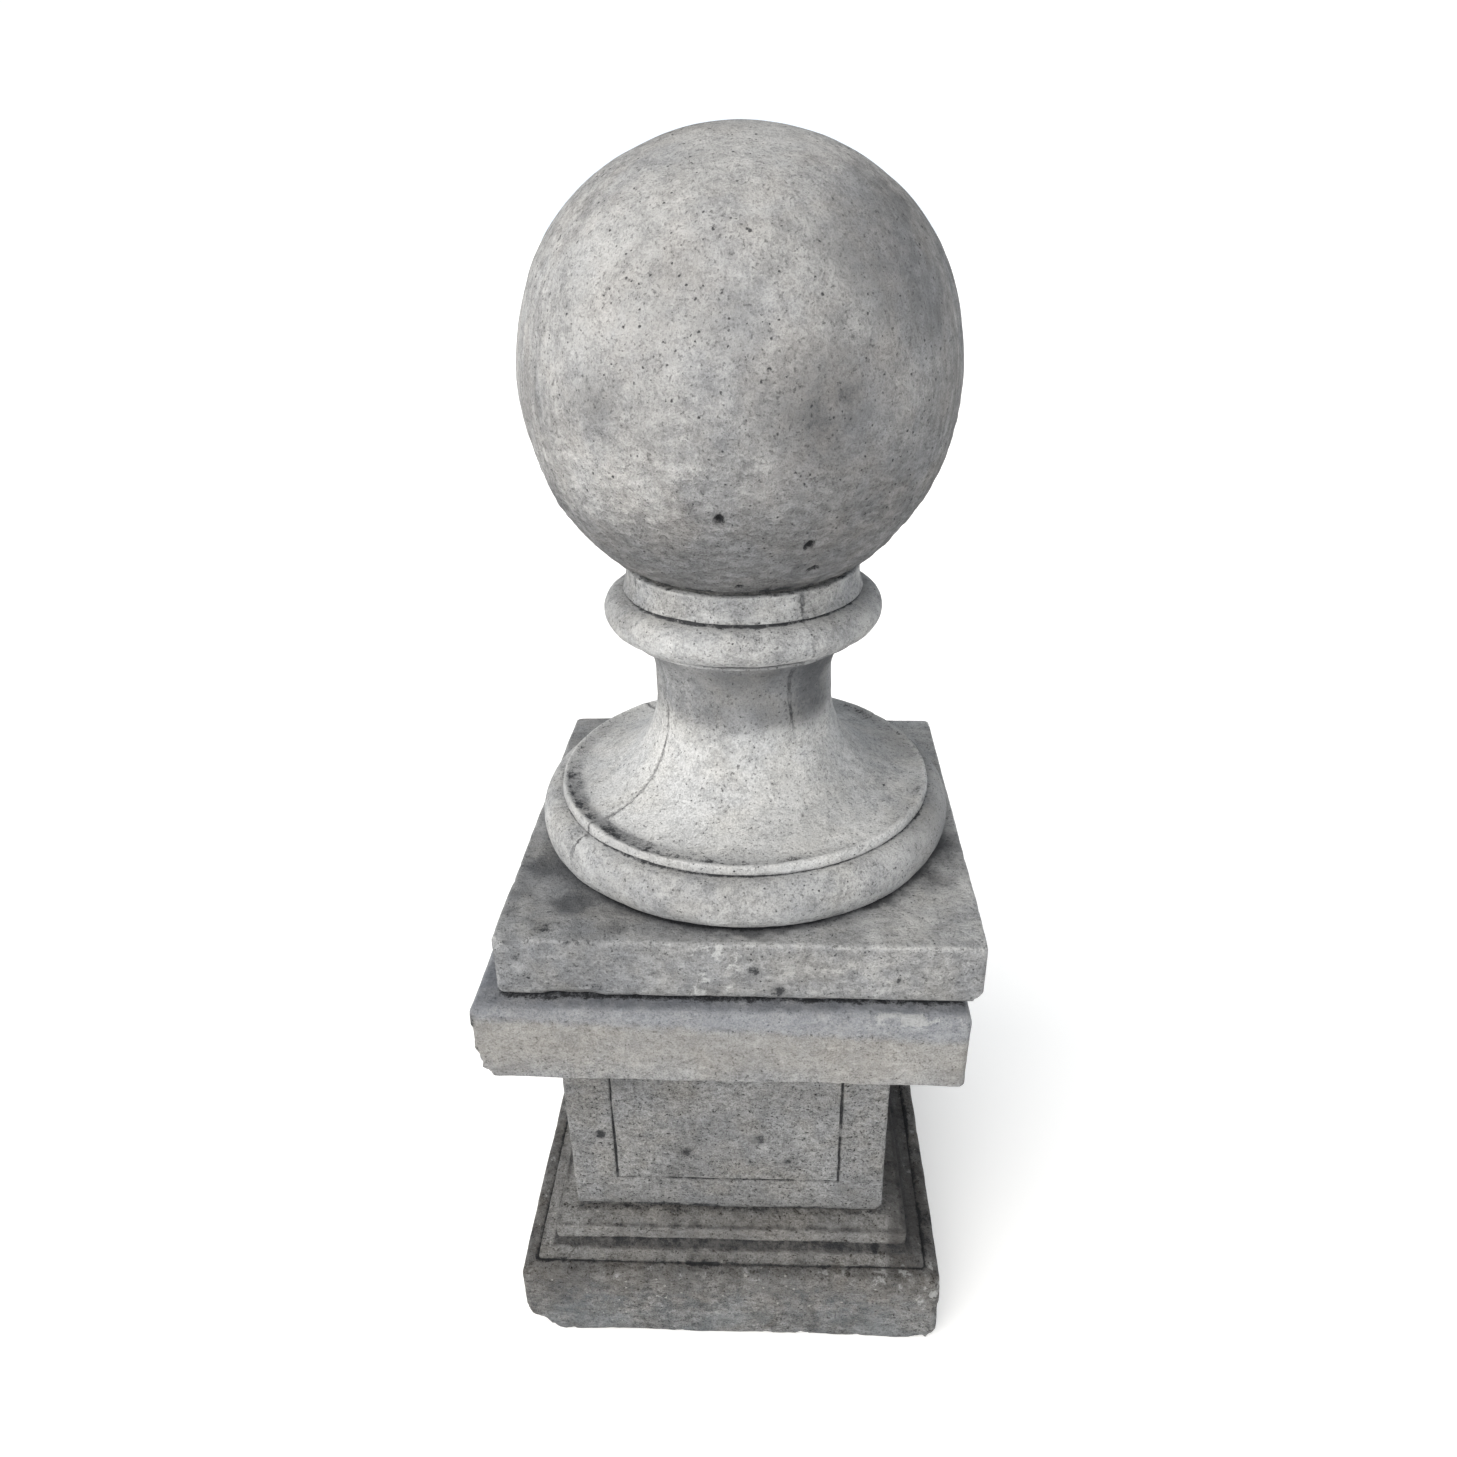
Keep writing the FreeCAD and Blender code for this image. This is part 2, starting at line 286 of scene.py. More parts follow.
class Stone:
    """One stone material, built node by node. Sizes are in millimetres."""

    def __init__(self, name, seed):
        self.material = bpy.data.materials.new(name)
        self.material.use_nodes = True
        self.tree = self.material.node_tree
        self.shader = self.tree.nodes["Principled BSDF"]
        place = self.node("ShaderNodeTexCoord").outputs["Object"]
        self.place = self.vector("SCALE", place, scale=TO_MM)
        self.where = self.vector("ADD", self.place, (seed * 137.0, seed * 71.0, seed * 53.0))

    def node(self, kind, **settings):
        made = self.tree.nodes.new(kind)
        for key, value in settings.items():
            setattr(made, key, value)
        return made

    def feed(self, socket, value):
        """Links a node's output to a socket, or sets the socket to a plain value."""
        if isinstance(value, bpy.types.NodeSocket):
            self.tree.links.new(value, socket)
        else:
            socket.default_value = value

    def vector(self, operation, a, b=None, scale=None):
        made = self.node("ShaderNodeVectorMath", operation=operation)
        self.feed(made.inputs[0], a)
        if b is not None:
            self.feed(made.inputs[1], b)
        if scale is not None:
            self.feed(made.inputs["Scale"], scale)
        return made.outputs["Vector"]

    def math(self, operation, a, b=0.0, clamp=False):
        made = self.node("ShaderNodeMath", operation=operation, use_clamp=clamp)
        self.feed(made.inputs[0], a)
        self.feed(made.inputs[1], b)
        return made.outputs[0]

    def times(self, *values):
        total = values[0]
        for value in values[1:]:
            total = self.math("MULTIPLY", total, value)
        return total

    def plus(self, *values):
        total = values[0]
        for value in values[1:]:
            total = self.math("ADD", total, value)
        return total

    def most(self, a, b):
        return self.math("MAXIMUM", a, b)

    def ramp(self, value, low, high, out_low=0.0, out_high=1.0):
        """A smooth rise from out_low to out_high while value goes from low to high."""
        made = self.node("ShaderNodeMapRange", interpolation_type="SMOOTHSTEP")
        for socket, setting in zip(made.inputs, (value, low, high, out_low, out_high)):
            self.feed(socket, setting)
        return made.outputs[0]

    def noise(self, size, detail=3.0, roughness=0.55, stretch=None):
        """Noise from 0 to 1 with bumps about size across."""
        made = self.node("ShaderNodeTexNoise")
        where = self.vector("MULTIPLY", self.where, stretch) if stretch else self.where
        self.feed(made.inputs["Vector"], where)
        self.feed(made.inputs["Scale"], 1.0 / size)
        self.feed(made.inputs["Detail"], detail)
        self.feed(made.inputs["Roughness"], roughness)
        return made.outputs["Fac"]

    def dots(self, spacing, radius, share):
        """Scattered ragged dots, 1 in their middle, gathered in clusters. Share says how many there are."""
        made = self.node("ShaderNodeTexVoronoi")
        ragged = self.vector("SCALE", self.drift(spacing * 0.3), scale=spacing * 0.4)
        self.feed(made.inputs["Vector"], self.vector("ADD", self.where, ragged))
        self.feed(made.inputs["Scale"], 1.0 / spacing)
        split = self.node("ShaderNodeSeparateColor")
        self.feed(split.inputs[0], made.outputs["Color"])
        cluster = self.ramp(self.noise(spacing * 9, 3, 0.6), 0.38, 0.62, 0.25 * share, 1.5 * share)
        chosen = self.math("LESS_THAN", split.outputs[0], cluster)
        reach = self.times(self.plus(0.35, self.times(0.65, split.outputs[1])), radius / spacing)
        return self.times(chosen, self.ramp(made.outputs["Distance"], reach, self.times(reach, 0.4)))

    def drift(self, size):
        """Noise in three directions, about -0.5 to 0.5, for bending other patterns."""
        made = self.node("ShaderNodeTexNoise")
        self.feed(made.inputs["Vector"], self.where)
        self.feed(made.inputs["Scale"], 1.0 / size)
        self.feed(made.inputs["Detail"], 2.0)
        return self.vector("SUBTRACT", made.outputs["Color"], (0.5, 0.5, 0.5))

    def field(self, name):
        """A value painted on the mesh's points."""
        return self.node("ShaderNodeAttribute", attribute_name=name).outputs["Fac"]

    def axes(self, centre=(0.0, 0.0, 0.0)):
        """The x, y and z of each surface point from a centre."""
        split = self.node("ShaderNodeSeparateXYZ")
        self.feed(split.inputs[0], self.vector("SUBTRACT", self.place, centre))
        return split.outputs

    def mix(self, share, a, b, blend="MIX"):
        made = self.node("ShaderNodeMix", data_type="RGBA", blend_type=blend)
        self.feed(made.inputs[0], share)
        self.feed(made.inputs[6], (*a, 1.0) if isinstance(a, tuple) else a)
        self.feed(made.inputs[7], (*b, 1.0) if isinstance(b, tuple) else b)
        return made.outputs[2]

    def shade(self, colour, factor):
        """Makes a colour lighter or darker by a factor."""
        return self.vector("SCALE", colour, scale=factor)

    def finish(self, colour, roughness, layers):
        """Sets the surface. Layers are (height, depth in millimetres) pairs, coarse ones first."""
        normal = None
        for height, depth in layers:
            bump = self.node("ShaderNodeBump")
            self.feed(bump.inputs["Strength"], 1.0)
            self.feed(bump.inputs["Distance"], depth / TO_MM)
            self.feed(bump.inputs["Height"], height)
            if normal is not None:
                self.feed(bump.inputs["Normal"], normal)
            normal = bump.outputs[0]
        self.feed(self.shader.inputs["Base Color"], colour)
        self.feed(self.shader.inputs["Roughness"], roughness)
        self.feed(self.shader.inputs["Normal"], normal)
        self.shader.inputs["Specular IOR Level"].default_value = 0.25
        return self.material


# The two darkest colours below serve for dirt and also for painted shade.
DARK_GRIME_AND_SHADE = (0.022, 0.023, 0.026)
SOOT_AND_SHADE = (0.045, 0.047, 0.052)
SCUFF = (0.56, 0.56, 0.55)
GRIT = (0.55, 0.54, 0.5)


def cast_stone(name, seed, light, dark, warm, cool, pits=0.5, pit_size=1.3, grit=0.0, streaks=0.0,
               contrast=1.0, cloudy=1.1, mottled=0.5, tint=0.4, grain_depth=0.6, extra=None):
    """Weathered cast stone.

    Light and dark are its two greys, warm and cool the tints that drift over them. Pits is the share of
    spots with a pinhole, grit that with a pale grain, and extra adds marks of one stone's own."""
    s = Stone(name, seed)
    coarse = s.field("rough")
    clouds = s.noise(80, 6, 0.66)
    mottle = s.ramp(s.noise(14, 7, 0.76), 0.30, 0.70)
    grain = s.ramp(s.noise(4.2, 4, 0.75), 0.30, 0.70)
    sand = s.ramp(s.noise(1.8, 2, 0.7), 0.28, 0.72)
    pepper = s.ramp(s.noise(3.4, 3, 0.6), 0.40, 0.33)
    dashes = s.times(s.ramp(s.noise(5.0, 3, 0.65, stretch=(0.45, 0.45, 1.6)), 0.41, 0.31), coarse)
    evened = 0.425 - 0.5 * cloudy - 0.5 * mottled
    tone = s.plus(s.times(clouds, cloudy), s.times(mottle, mottled), s.times(s.field("tone"), 0.5), evened)
    colour = s.mix(s.ramp(tone, 0.05, 0.95), dark, light)
    colour = s.mix(s.ramp(s.noise(48, 4, 0.65), 0.42, 0.66, 0.0, tint), colour, s.mix(0.5, colour, warm))
    colour = s.mix(s.ramp(s.noise(62, 4, 0.65, stretch=(1.0, 1.3, 0.8)), 0.42, 0.66, 0.0, tint), colour,
                   s.mix(0.5, colour, cool))
    wrinkle = s.ramp(s.noise(11, 4, 0.62, stretch=(0.8, 0.8, 1.7)), 0.34, 0.66)
    wrinkle = s.times(s.plus(wrinkle, -0.5), coarse)
    speckle = s.plus(s.times(wrinkle, 0.62), s.times(grain, 0.34 * contrast),
                     s.times(sand, 0.40 * contrast), s.times(pepper, -0.42 * contrast),
                     s.times(dashes, -0.45 * contrast), 1.0 - 0.30 * contrast)
    colour = s.shade(colour, speckle)
    if streaks:
        run = s.ramp(s.noise(8, 4, 0.7, stretch=(1.0, 1.0, 0.07)), 0.3, 0.7, -0.5, 0.4)
        colour = s.shade(colour, s.plus(1.0, s.times(s.field("streak"), streaks, run)))
    if grit:
        colour = s.mix(s.times(s.dots(9, 2.6, grit), 0.8), colour, GRIT)
    pinholes = s.most(s.dots(6.0, pit_size, pits), s.dots(15, pit_size * 1.7, pits * 0.5))
    colour = s.mix(s.times(pinholes, 0.85), colour, DARK_GRIME_AND_SHADE)

    breakup = s.plus(s.times(mottle, 0.5), s.times(grain, 0.38), s.times(sand, 0.22), -0.55)
    # The smudge and grime fields hold dirt and also painted shade: in hollows, under overhangs and on faces
    # turned from the light.
    smudge = s.ramp(s.plus(s.field("smudge"), s.times(breakup, 0.9)), 0.1, 1.0)
    colour = s.mix(s.times(smudge, 0.8), colour, SOOT_AND_SHADE)
    cut = None
    if extra:
        colour, cut = extra(s, colour, mottle, grain)
    pale = s.ramp(s.plus(s.field("pale"), breakup), 0.25, 0.85)
    colour = s.mix(s.times(pale, 0.62), colour, SCUFF)
    grime = s.ramp(s.plus(s.field("grime"), s.times(breakup, 1.1)), 0.22, 0.8)
    colour = s.mix(s.times(grime, 0.92), colour, DARK_GRIME_AND_SHADE)
    roughness = s.plus(0.84, s.times(grain, 0.12), s.times(smudge, -0.08))
    uneven = s.times(grain, s.plus(0.45, s.times(coarse, 0.9)))
    holes = s.math("SUBTRACT", 1.0, s.most(s.most(pinholes, s.times(pepper, 0.35)), s.times(dashes, 0.5)))
    layers = [(mottle, 0.9), (wrinkle, 2.2), (uneven, grain_depth), (sand, 0.2), (holes, 0.9)]
    if cut is not None:
        layers.append((cut, 0.8))
    return s.finish(colour, roughness, layers)


def seal_fields(skin, **named):
    """Gives the skin every painted field that the stone material reads."""
    zero = np.zeros(skin.points.shape[:-1])
    fresh, dark = skin.fields.pop("chip", zero), skin.fields.pop("hole", zero)
    for key in ("tone", "smudge", "pale", "grime", "rough", "streak", "seam"):
        skin.fields[key] = named.get(key, zero)
    skin.fields["tone"] = skin.fields["tone"] + 0.25 * fresh
    skin.fields["grime"] = np.maximum(skin.fields["grime"], dark)


def stand_for(piece, node, material):
    """Puts a finished stone in the frame in place of its CAD node."""
    piece.data.materials.append(material)
    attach(piece, "root")
    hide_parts(node)


def edge_chips(skin, rng, half, heights, count, sizes, depths):
    """Small random chips along the level arrises and the upright corners of a square stone."""
    for number in range(count):
        size = rng.uniform(*sizes)
        depth = rng.uniform(*depths)
        along = rng.uniform(-half, half)
        turn = rng.integers(4)
        z = heights[rng.integers(len(heights))]
        if rng.uniform() < 0.3:
            local = (half, -half)
            outward = (1, -1, 0)
            z = rng.uniform(min(heights), max(heights))
        else:
            local = (along, -half)
            outward = (0, -1, 0.8 if z == max(heights) else -0.8)
        c, s = ((1, 0), (0, 1), (-1, 0), (0, -1))[turn]
        at = (local[0] * c - local[1] * s, local[0] * s + local[1] * c, z)
        out = (outward[0] * c - outward[1] * s, outward[0] * s + outward[1] * c, outward[2])
        skin.chip(at, out, size, depth, 900 + number)


# ================================================================ the finial's axis and levels

ball_low, ball_high = box_mm("ball")
ball_radius = (ball_high[0] - ball_low[0]) / 2
ball_centre = np.array([(ball_low[0] + ball_high[0]) / 2, (ball_low[1] + ball_high[1]) / 2,
                        ball_high[2] - ball_radius])
finial_turn = -0.6
socle_low, socle_high = box_mm("socle")
dowel_low, dowel_high = box_mm("ball_dowel")
hole_radius = (dowel_high[0] - dowel_low[0]) / 2 + 1.0
hole_gap = 2.0


# ================================================================ ball

def make_ball():
    """The ball, with its flat bed, a dowel hole, holes left by air and the dents of a hand-packed mould."""
    columns = 500
    angles = round_angles(columns // 4 - 1, 1)
    bed = ball_low[2] - ball_centre[2]
    bed_radius = math.sqrt(ball_radius ** 2 - bed ** 2)
    hole_top = dowel_high[2] + hole_gap - ball_centre[2]
    outline = [(2.0, hole_top), (hole_radius, hole_top), (hole_radius, bed), (40.0, bed), (75.0, bed),
               (98.0, bed), (bed_radius - 3, bed)]
    start = math.degrees(math.asin(bed / ball_radius))
    outline += arc((0, 0), ball_radius, start, 89.6, 2.72)
    skin = Skin([raised(round_ring(angles, r), z) for r, z in outline])
    p = skin.points
    outer = ramp(np.linalg.norm(p, axis=-1), ball_radius - 6, ball_radius - 1)
    dents = 1.3 * fractal(p, 110, 2, 11) + 0.45 * fractal(p, 38, 2, 12)
    low = ramp(p[..., 2], 40, -120)
    wrinkled = (0.10 + 0.75 * low) * fractal(p * np.array([0.8, 0.8, 1.7]), 12, 3, 13)
    rise = np.arcsin(np.clip(p[..., 2] / ball_radius, -1, 1))
    out_of_round = (2.2 * np.sin(2 * rise) ** 2 + 1.2 * ramp(rise, 0.0, -0.9)
                    + 2.6 * ramp(rise, 0.2, 0.7) * ramp(rise, 1.4, 0.9) + 1.6 * ramp(rise, 0.9, 1.4))
    skin.push((dents + wrinkled + out_of_round - 1.6) * outer)
    air_holes = (((-11, -182, -82), 5.0, 5.5), ((62, -155, -111), 5.5, 6.0), ((65, -129, -139), 6.0, 5.0),
                 ((2, -125, -156), 5.0, 4.5), ((-62, -156, -107), 2.5, 2.5), ((-54, -157, -109), 2.5, 2.5),
                 ((120, 120, -105), 5.5, 5.5), ((-150, 90, -95), 5.0, 5.0))
    for at, size, depth in air_holes:
        skin.pit(at, size, depth)
    skin.keep_between(bed, ball_radius + 6)

    p = skin.points
    z = p[..., 2]
    side = np.abs(np.sin(np.arctan2(p[..., 0], -p[..., 1])))
    torn = fractal(p, 13, 3, 18)
    # Tone: the ramp on z makes the lower ball darker, painted shade along with damp dirt; the ramp on x makes
    # its right side darker, painted shade.
    tone = (spots(p, (0.32, (-110, -110, 90), 75), (0.2, (-50, -185, 10), 70), (0.3, (20, -90, 175), 75),
                  (0.5, (-95, -150, -80), 60), (-0.4, (135, -115, 90), 55), (-0.3, (112, -100, 130), 45),
                  (-0.5, (85, -178, -10), 55), (0.25, (-40, -190, 42), 38), (-0.25, (-105, -165, 0), 30),
                  (-0.25, (-30, -95, 172), 40))
            - 0.95 * ramp(z, -30, -140) - 0.36 * ramp(p[..., 0], 30, 190) + 0.3 * fractal(p, 70, 2, 17))
    # The smudge's ramps on z darken the underside near the bed and the lower ball: painted shade along with
    # damp dirt.
    smudge = (spots(p, (0.34, (130, -116, 98), 40), (0.3, (121, -78, 139), 32), (0.22, (80, -148, 108), 30),
                    (0.26, (160, -105, 55), 30), (0.46, (61, -190, -8), 30), (0.34, (96, -175, 8), 26),
                    (0.22, (-109, -167, 10), 24), (0.1, (-30, -95, 172), 30))
              + 0.4 * ramp(z, bed + 20, bed) + 0.16 * ramp(z, -90, -160)
              + 0.16 * ramp(noise(p, 60, 19), 0.25, 0.8) + 0.1 * torn)
    grime = ramp(z - 4 * torn, bed + 5, bed - 1)
    for at, size, _ in air_holes:
        grime = np.maximum(grime, 1.5 * spot(p, np.array(at) * 0.985, 0.85 * size))
    seal_fields(skin, tone=tone, smudge=smudge, grime=grime, rough=0.15 + 0.6 * low,
                streak=ramp(side, 0.55, 0.95))
    skin.place(finial_turn, ball_centre)
    piece = skin.to_object("stone_ball")
    stone = cast_stone("ball_stone_finish", 1, light=(0.50, 0.489, 0.474), dark=(0.19, 0.188, 0.186),
                       warm=(0.42, 0.375, 0.335), cool=(0.29, 0.31, 0.345), pits=0.4, pit_size=1.6,
                       streaks=0.5, contrast=0.9, cloudy=0.75, mottled=0.36, tint=0.3, grain_depth=1.1)
    stand_for(piece, "ball", stone)


# ================================================================ socle

# Heights above the finial's underside
foot_half, foot_height = 230.5, 67.0
torus_height, quirk_height, rim_height = 50.0, 2.5, 9.0
rim_top = foot_height + torus_height + quirk_height + rim_height
neck_low, neck_high = 221.0, 248.0
listel_height, high_torus_height, collar_height = 4.0, 36.5, 26.0
socle_height = socle_high[2] - socle_low[2]
collar_base = socle_height - collar_height
high_top = collar_base - quirk_height
high_base = high_top - high_torus_height

# The mould's seams, with the heights between which they wander sideways
seam_start = -150.0
seam_drift = 10.0
seam_low, seam_high = socle_low[2] + 126.0, socle_low[2] + 286.0


def seam_distance(points):
    """How far each point, from the finial's axis, lies from the nearest of the mould's four seams."""
    azimuth = np.degrees(np.arctan2(points[..., 1], points[..., 0]))
    line = seam_start + seam_drift * ramp(points[..., 2], seam_high, seam_low)
    line = line + 1.2 * noise(points * np.array([0, 0, 1.0]), 26, 31)
    turn = (azimuth - line + 45) % 90 - 45
    return np.radians(turn) * np.hypot(points[..., 0], points[..., 1])


def socle_outline():
    """The socle's outline, from its underside's middle to the bottom of its dowel hole.

    Heights are above the underside. It comes in two lists: the square foot, then the turned stem."""
    step = 2.9
    top_arris, low_arris = 4.0, 8.0
    torus_foot, torus_reach, torus_top = 203.5, 218.5, 199.0
    quirk = 3.0
    foot = [(20.0, 0), (120.0, 0), (foot_half - low_arris - 8, 0)]
    foot += arc((foot_half - low_arris, low_arris), low_arris, -90, 0, 2.5)
    face = foot[3:] + arc((foot_half - top_arris, foot_height - top_arris), top_arris, 0, 90, 2)
    foot = foot[:3] + filled(face, step)
    z = foot_height + 1
    stem = [(torus_foot - quirk, foot_height), (torus_foot - quirk, z), (torus_foot, z)]
    stem += bulge((torus_foot, z), (torus_top, foot_height + torus_height), torus_reach, step)[1:]
    z = foot_height + torus_height
    rim, rim_inner = 196.5, 189.0
    stem += [(rim - quirk, z), (rim - quirk, z + quirk_height), (rim, z + quirk_height)]
    z += quirk_height
    stem += filled([(rim, z), (rim - 2, z + rim_height)], step)[1:]
    z += rim_height
    stem += [(rim - 4.5, z), (rim - 6.3, z - 0.4), (rim_inner, z - 1.3)]
    z -= 1.3
    neck = 90.6
    run, rise = rim_inner - neck, neck_low - z
    radius = (run ** 2 + rise ** 2) / (2 * run)
    start = 180 + math.degrees(math.asin(rise / radius))
    stem += arc((neck + radius, neck_low), radius, start, 180, step)[1:]
    stem += filled([(neck, neck_low), (neck, neck_high)], step)[1:]
    flare, listel_inner, listel = 50.0, 113.0, 118.0
    sweep = math.degrees(math.acos((flare - (listel_inner - neck)) / flare))
    stem += arc((neck + flare, neck_high), flare, 180, 180 - sweep, step)[1:]
    z = stem[-1][1]
    stem += [(listel, z), (listel, z + listel_height / 2), (listel, z + listel_height)]
    z += listel_height
    stem += [(listel - quirk, z), (listel - quirk, z + quirk_height)]
    z += quirk_height
    high_foot, high_reach = 120.0, 138.6
    stem += bulge((high_foot, z), (high_foot, z + high_torus_height), high_reach, step)
    z += high_torus_height
    collar, waist, collar_top = 118.4, 115.4, 115.0
    stem += [(collar - quirk, z), (collar - quirk, z + quirk_height)]
    z += quirk_height
    for t in np.linspace(0, 1, 12):
        out = collar + (collar_top - collar) * t - (collar - waist) * math.sin(math.pi * t) * 0.7
        stem.append((out, z + collar_height * t))
    z += collar_height
    hole_bottom = dowel_low[2] - hole_gap - socle_low[2]
    stem[-1] = (collar_top - 1.5, z - 0.6)
    stem += [(110.0, z), (80.0, z), (40.0, z)]
    stem += [(hole_radius, z), (hole_radius, hole_bottom), (2.0, hole_bottom)]
    return foot, stem


def socle_skin():
    """The socle: square foot, two tori, rim, bell, neck and collar, cast in one in a four-part mould.

    Returns its skin, which points are above the foot, and where the mould's seams show."""
    side_count, corner_steps = 103, 4
    stations = np.linspace(-1, 1, side_count)
    angles = round_angles(side_count, corner_steps)
    foot, stem = socle_outline()
    rings = [raised(square_ring(stations, corner_steps, half, 6.0), z) for half, z in foot]
    square = rings[-1]
    circle = raised(round_ring(angles, stem[0][0]), stem[0][1])
    rings += [square + (circle - square) * t for t in np.linspace(0, 1, 27)[1:-1]]
    rings += [raised(round_ring(angles, r), z) for r, z in stem]
    skin = Skin(rings)
    rng = np.random.default_rng(41)

    p = skin.points
    height = socle_height
    on_stem = ramp(p[..., 2], foot_height + 0.5, foot_height + 2)
    wear = ramp(fractal(p, 45, 2, 42), -0.6, 0.7)
    skin.round_off(3, wear * np.where(on_stem > 0, 0.35, 0.85))
    distance = seam_distance(skin.points + np.array([0, 0, socle_low[2]]))
    seam_region = on_stem * ramp(p[..., 2], height - 1, height - 3)
    offset = 0.35 * ramp(distance, -2.0, 2.0) * ramp(np.abs(distance), 60, 2)
    groove = -0.4 * hump(distance, 0, 1.7)
    skin.push((offset + groove) * seam_region)
    relief = 0.75 * fractal(p, 85, 2, 43) + 0.28 * fractal(p, 16, 3, 44)
    inside = (np.hypot(p[..., 0], p[..., 1]) > hole_radius + 4) * 1.0
    skin.push((relief - 0.3) * inside)

    corner = foot_half
    skin.chip((corner, -corner, 2), (1, -1, -0.7), 34, 9, 45)
    skin.chip((corner - 4, -corner, 0), (0.3, -1, -1), 26, 5, 46)
    skin.chip((-corner, -corner, 0), (-1, -1, -0.8), 30, 8, 47)
    skin.chip((-corner + 4, -corner, 62), (-0.6, -1, 0.5), 18, 3.5, 48)
    skin.chip((-190, -corner, 63), (0, -1, 0.5), 14, 2.5, 49)
    skin.chip((-110, -corner, 0), (0, -1, -1), 150, 4.5, 56)
    skin.chip((-15, -corner, 1), (0, -1, -0.7), 36, 4.0, 57)
    skin.chip((105, -corner, 0), (0, -1, -0.7), 30, 3.5, 58)
    skin.chip((corner, -corner, 60), (1, -0.6, 0.5), 16, 3.5, 59)
    skin.chip((corner, corner, 0), (1, 1, -0.8), 32, 9, 50)
    edge_chips(skin, rng, corner, (2.0, 64.0), 46, (6, 17), (0.8, 2.6))
    skin.keep_between(0, height)
    return skin, on_stem, seam_region


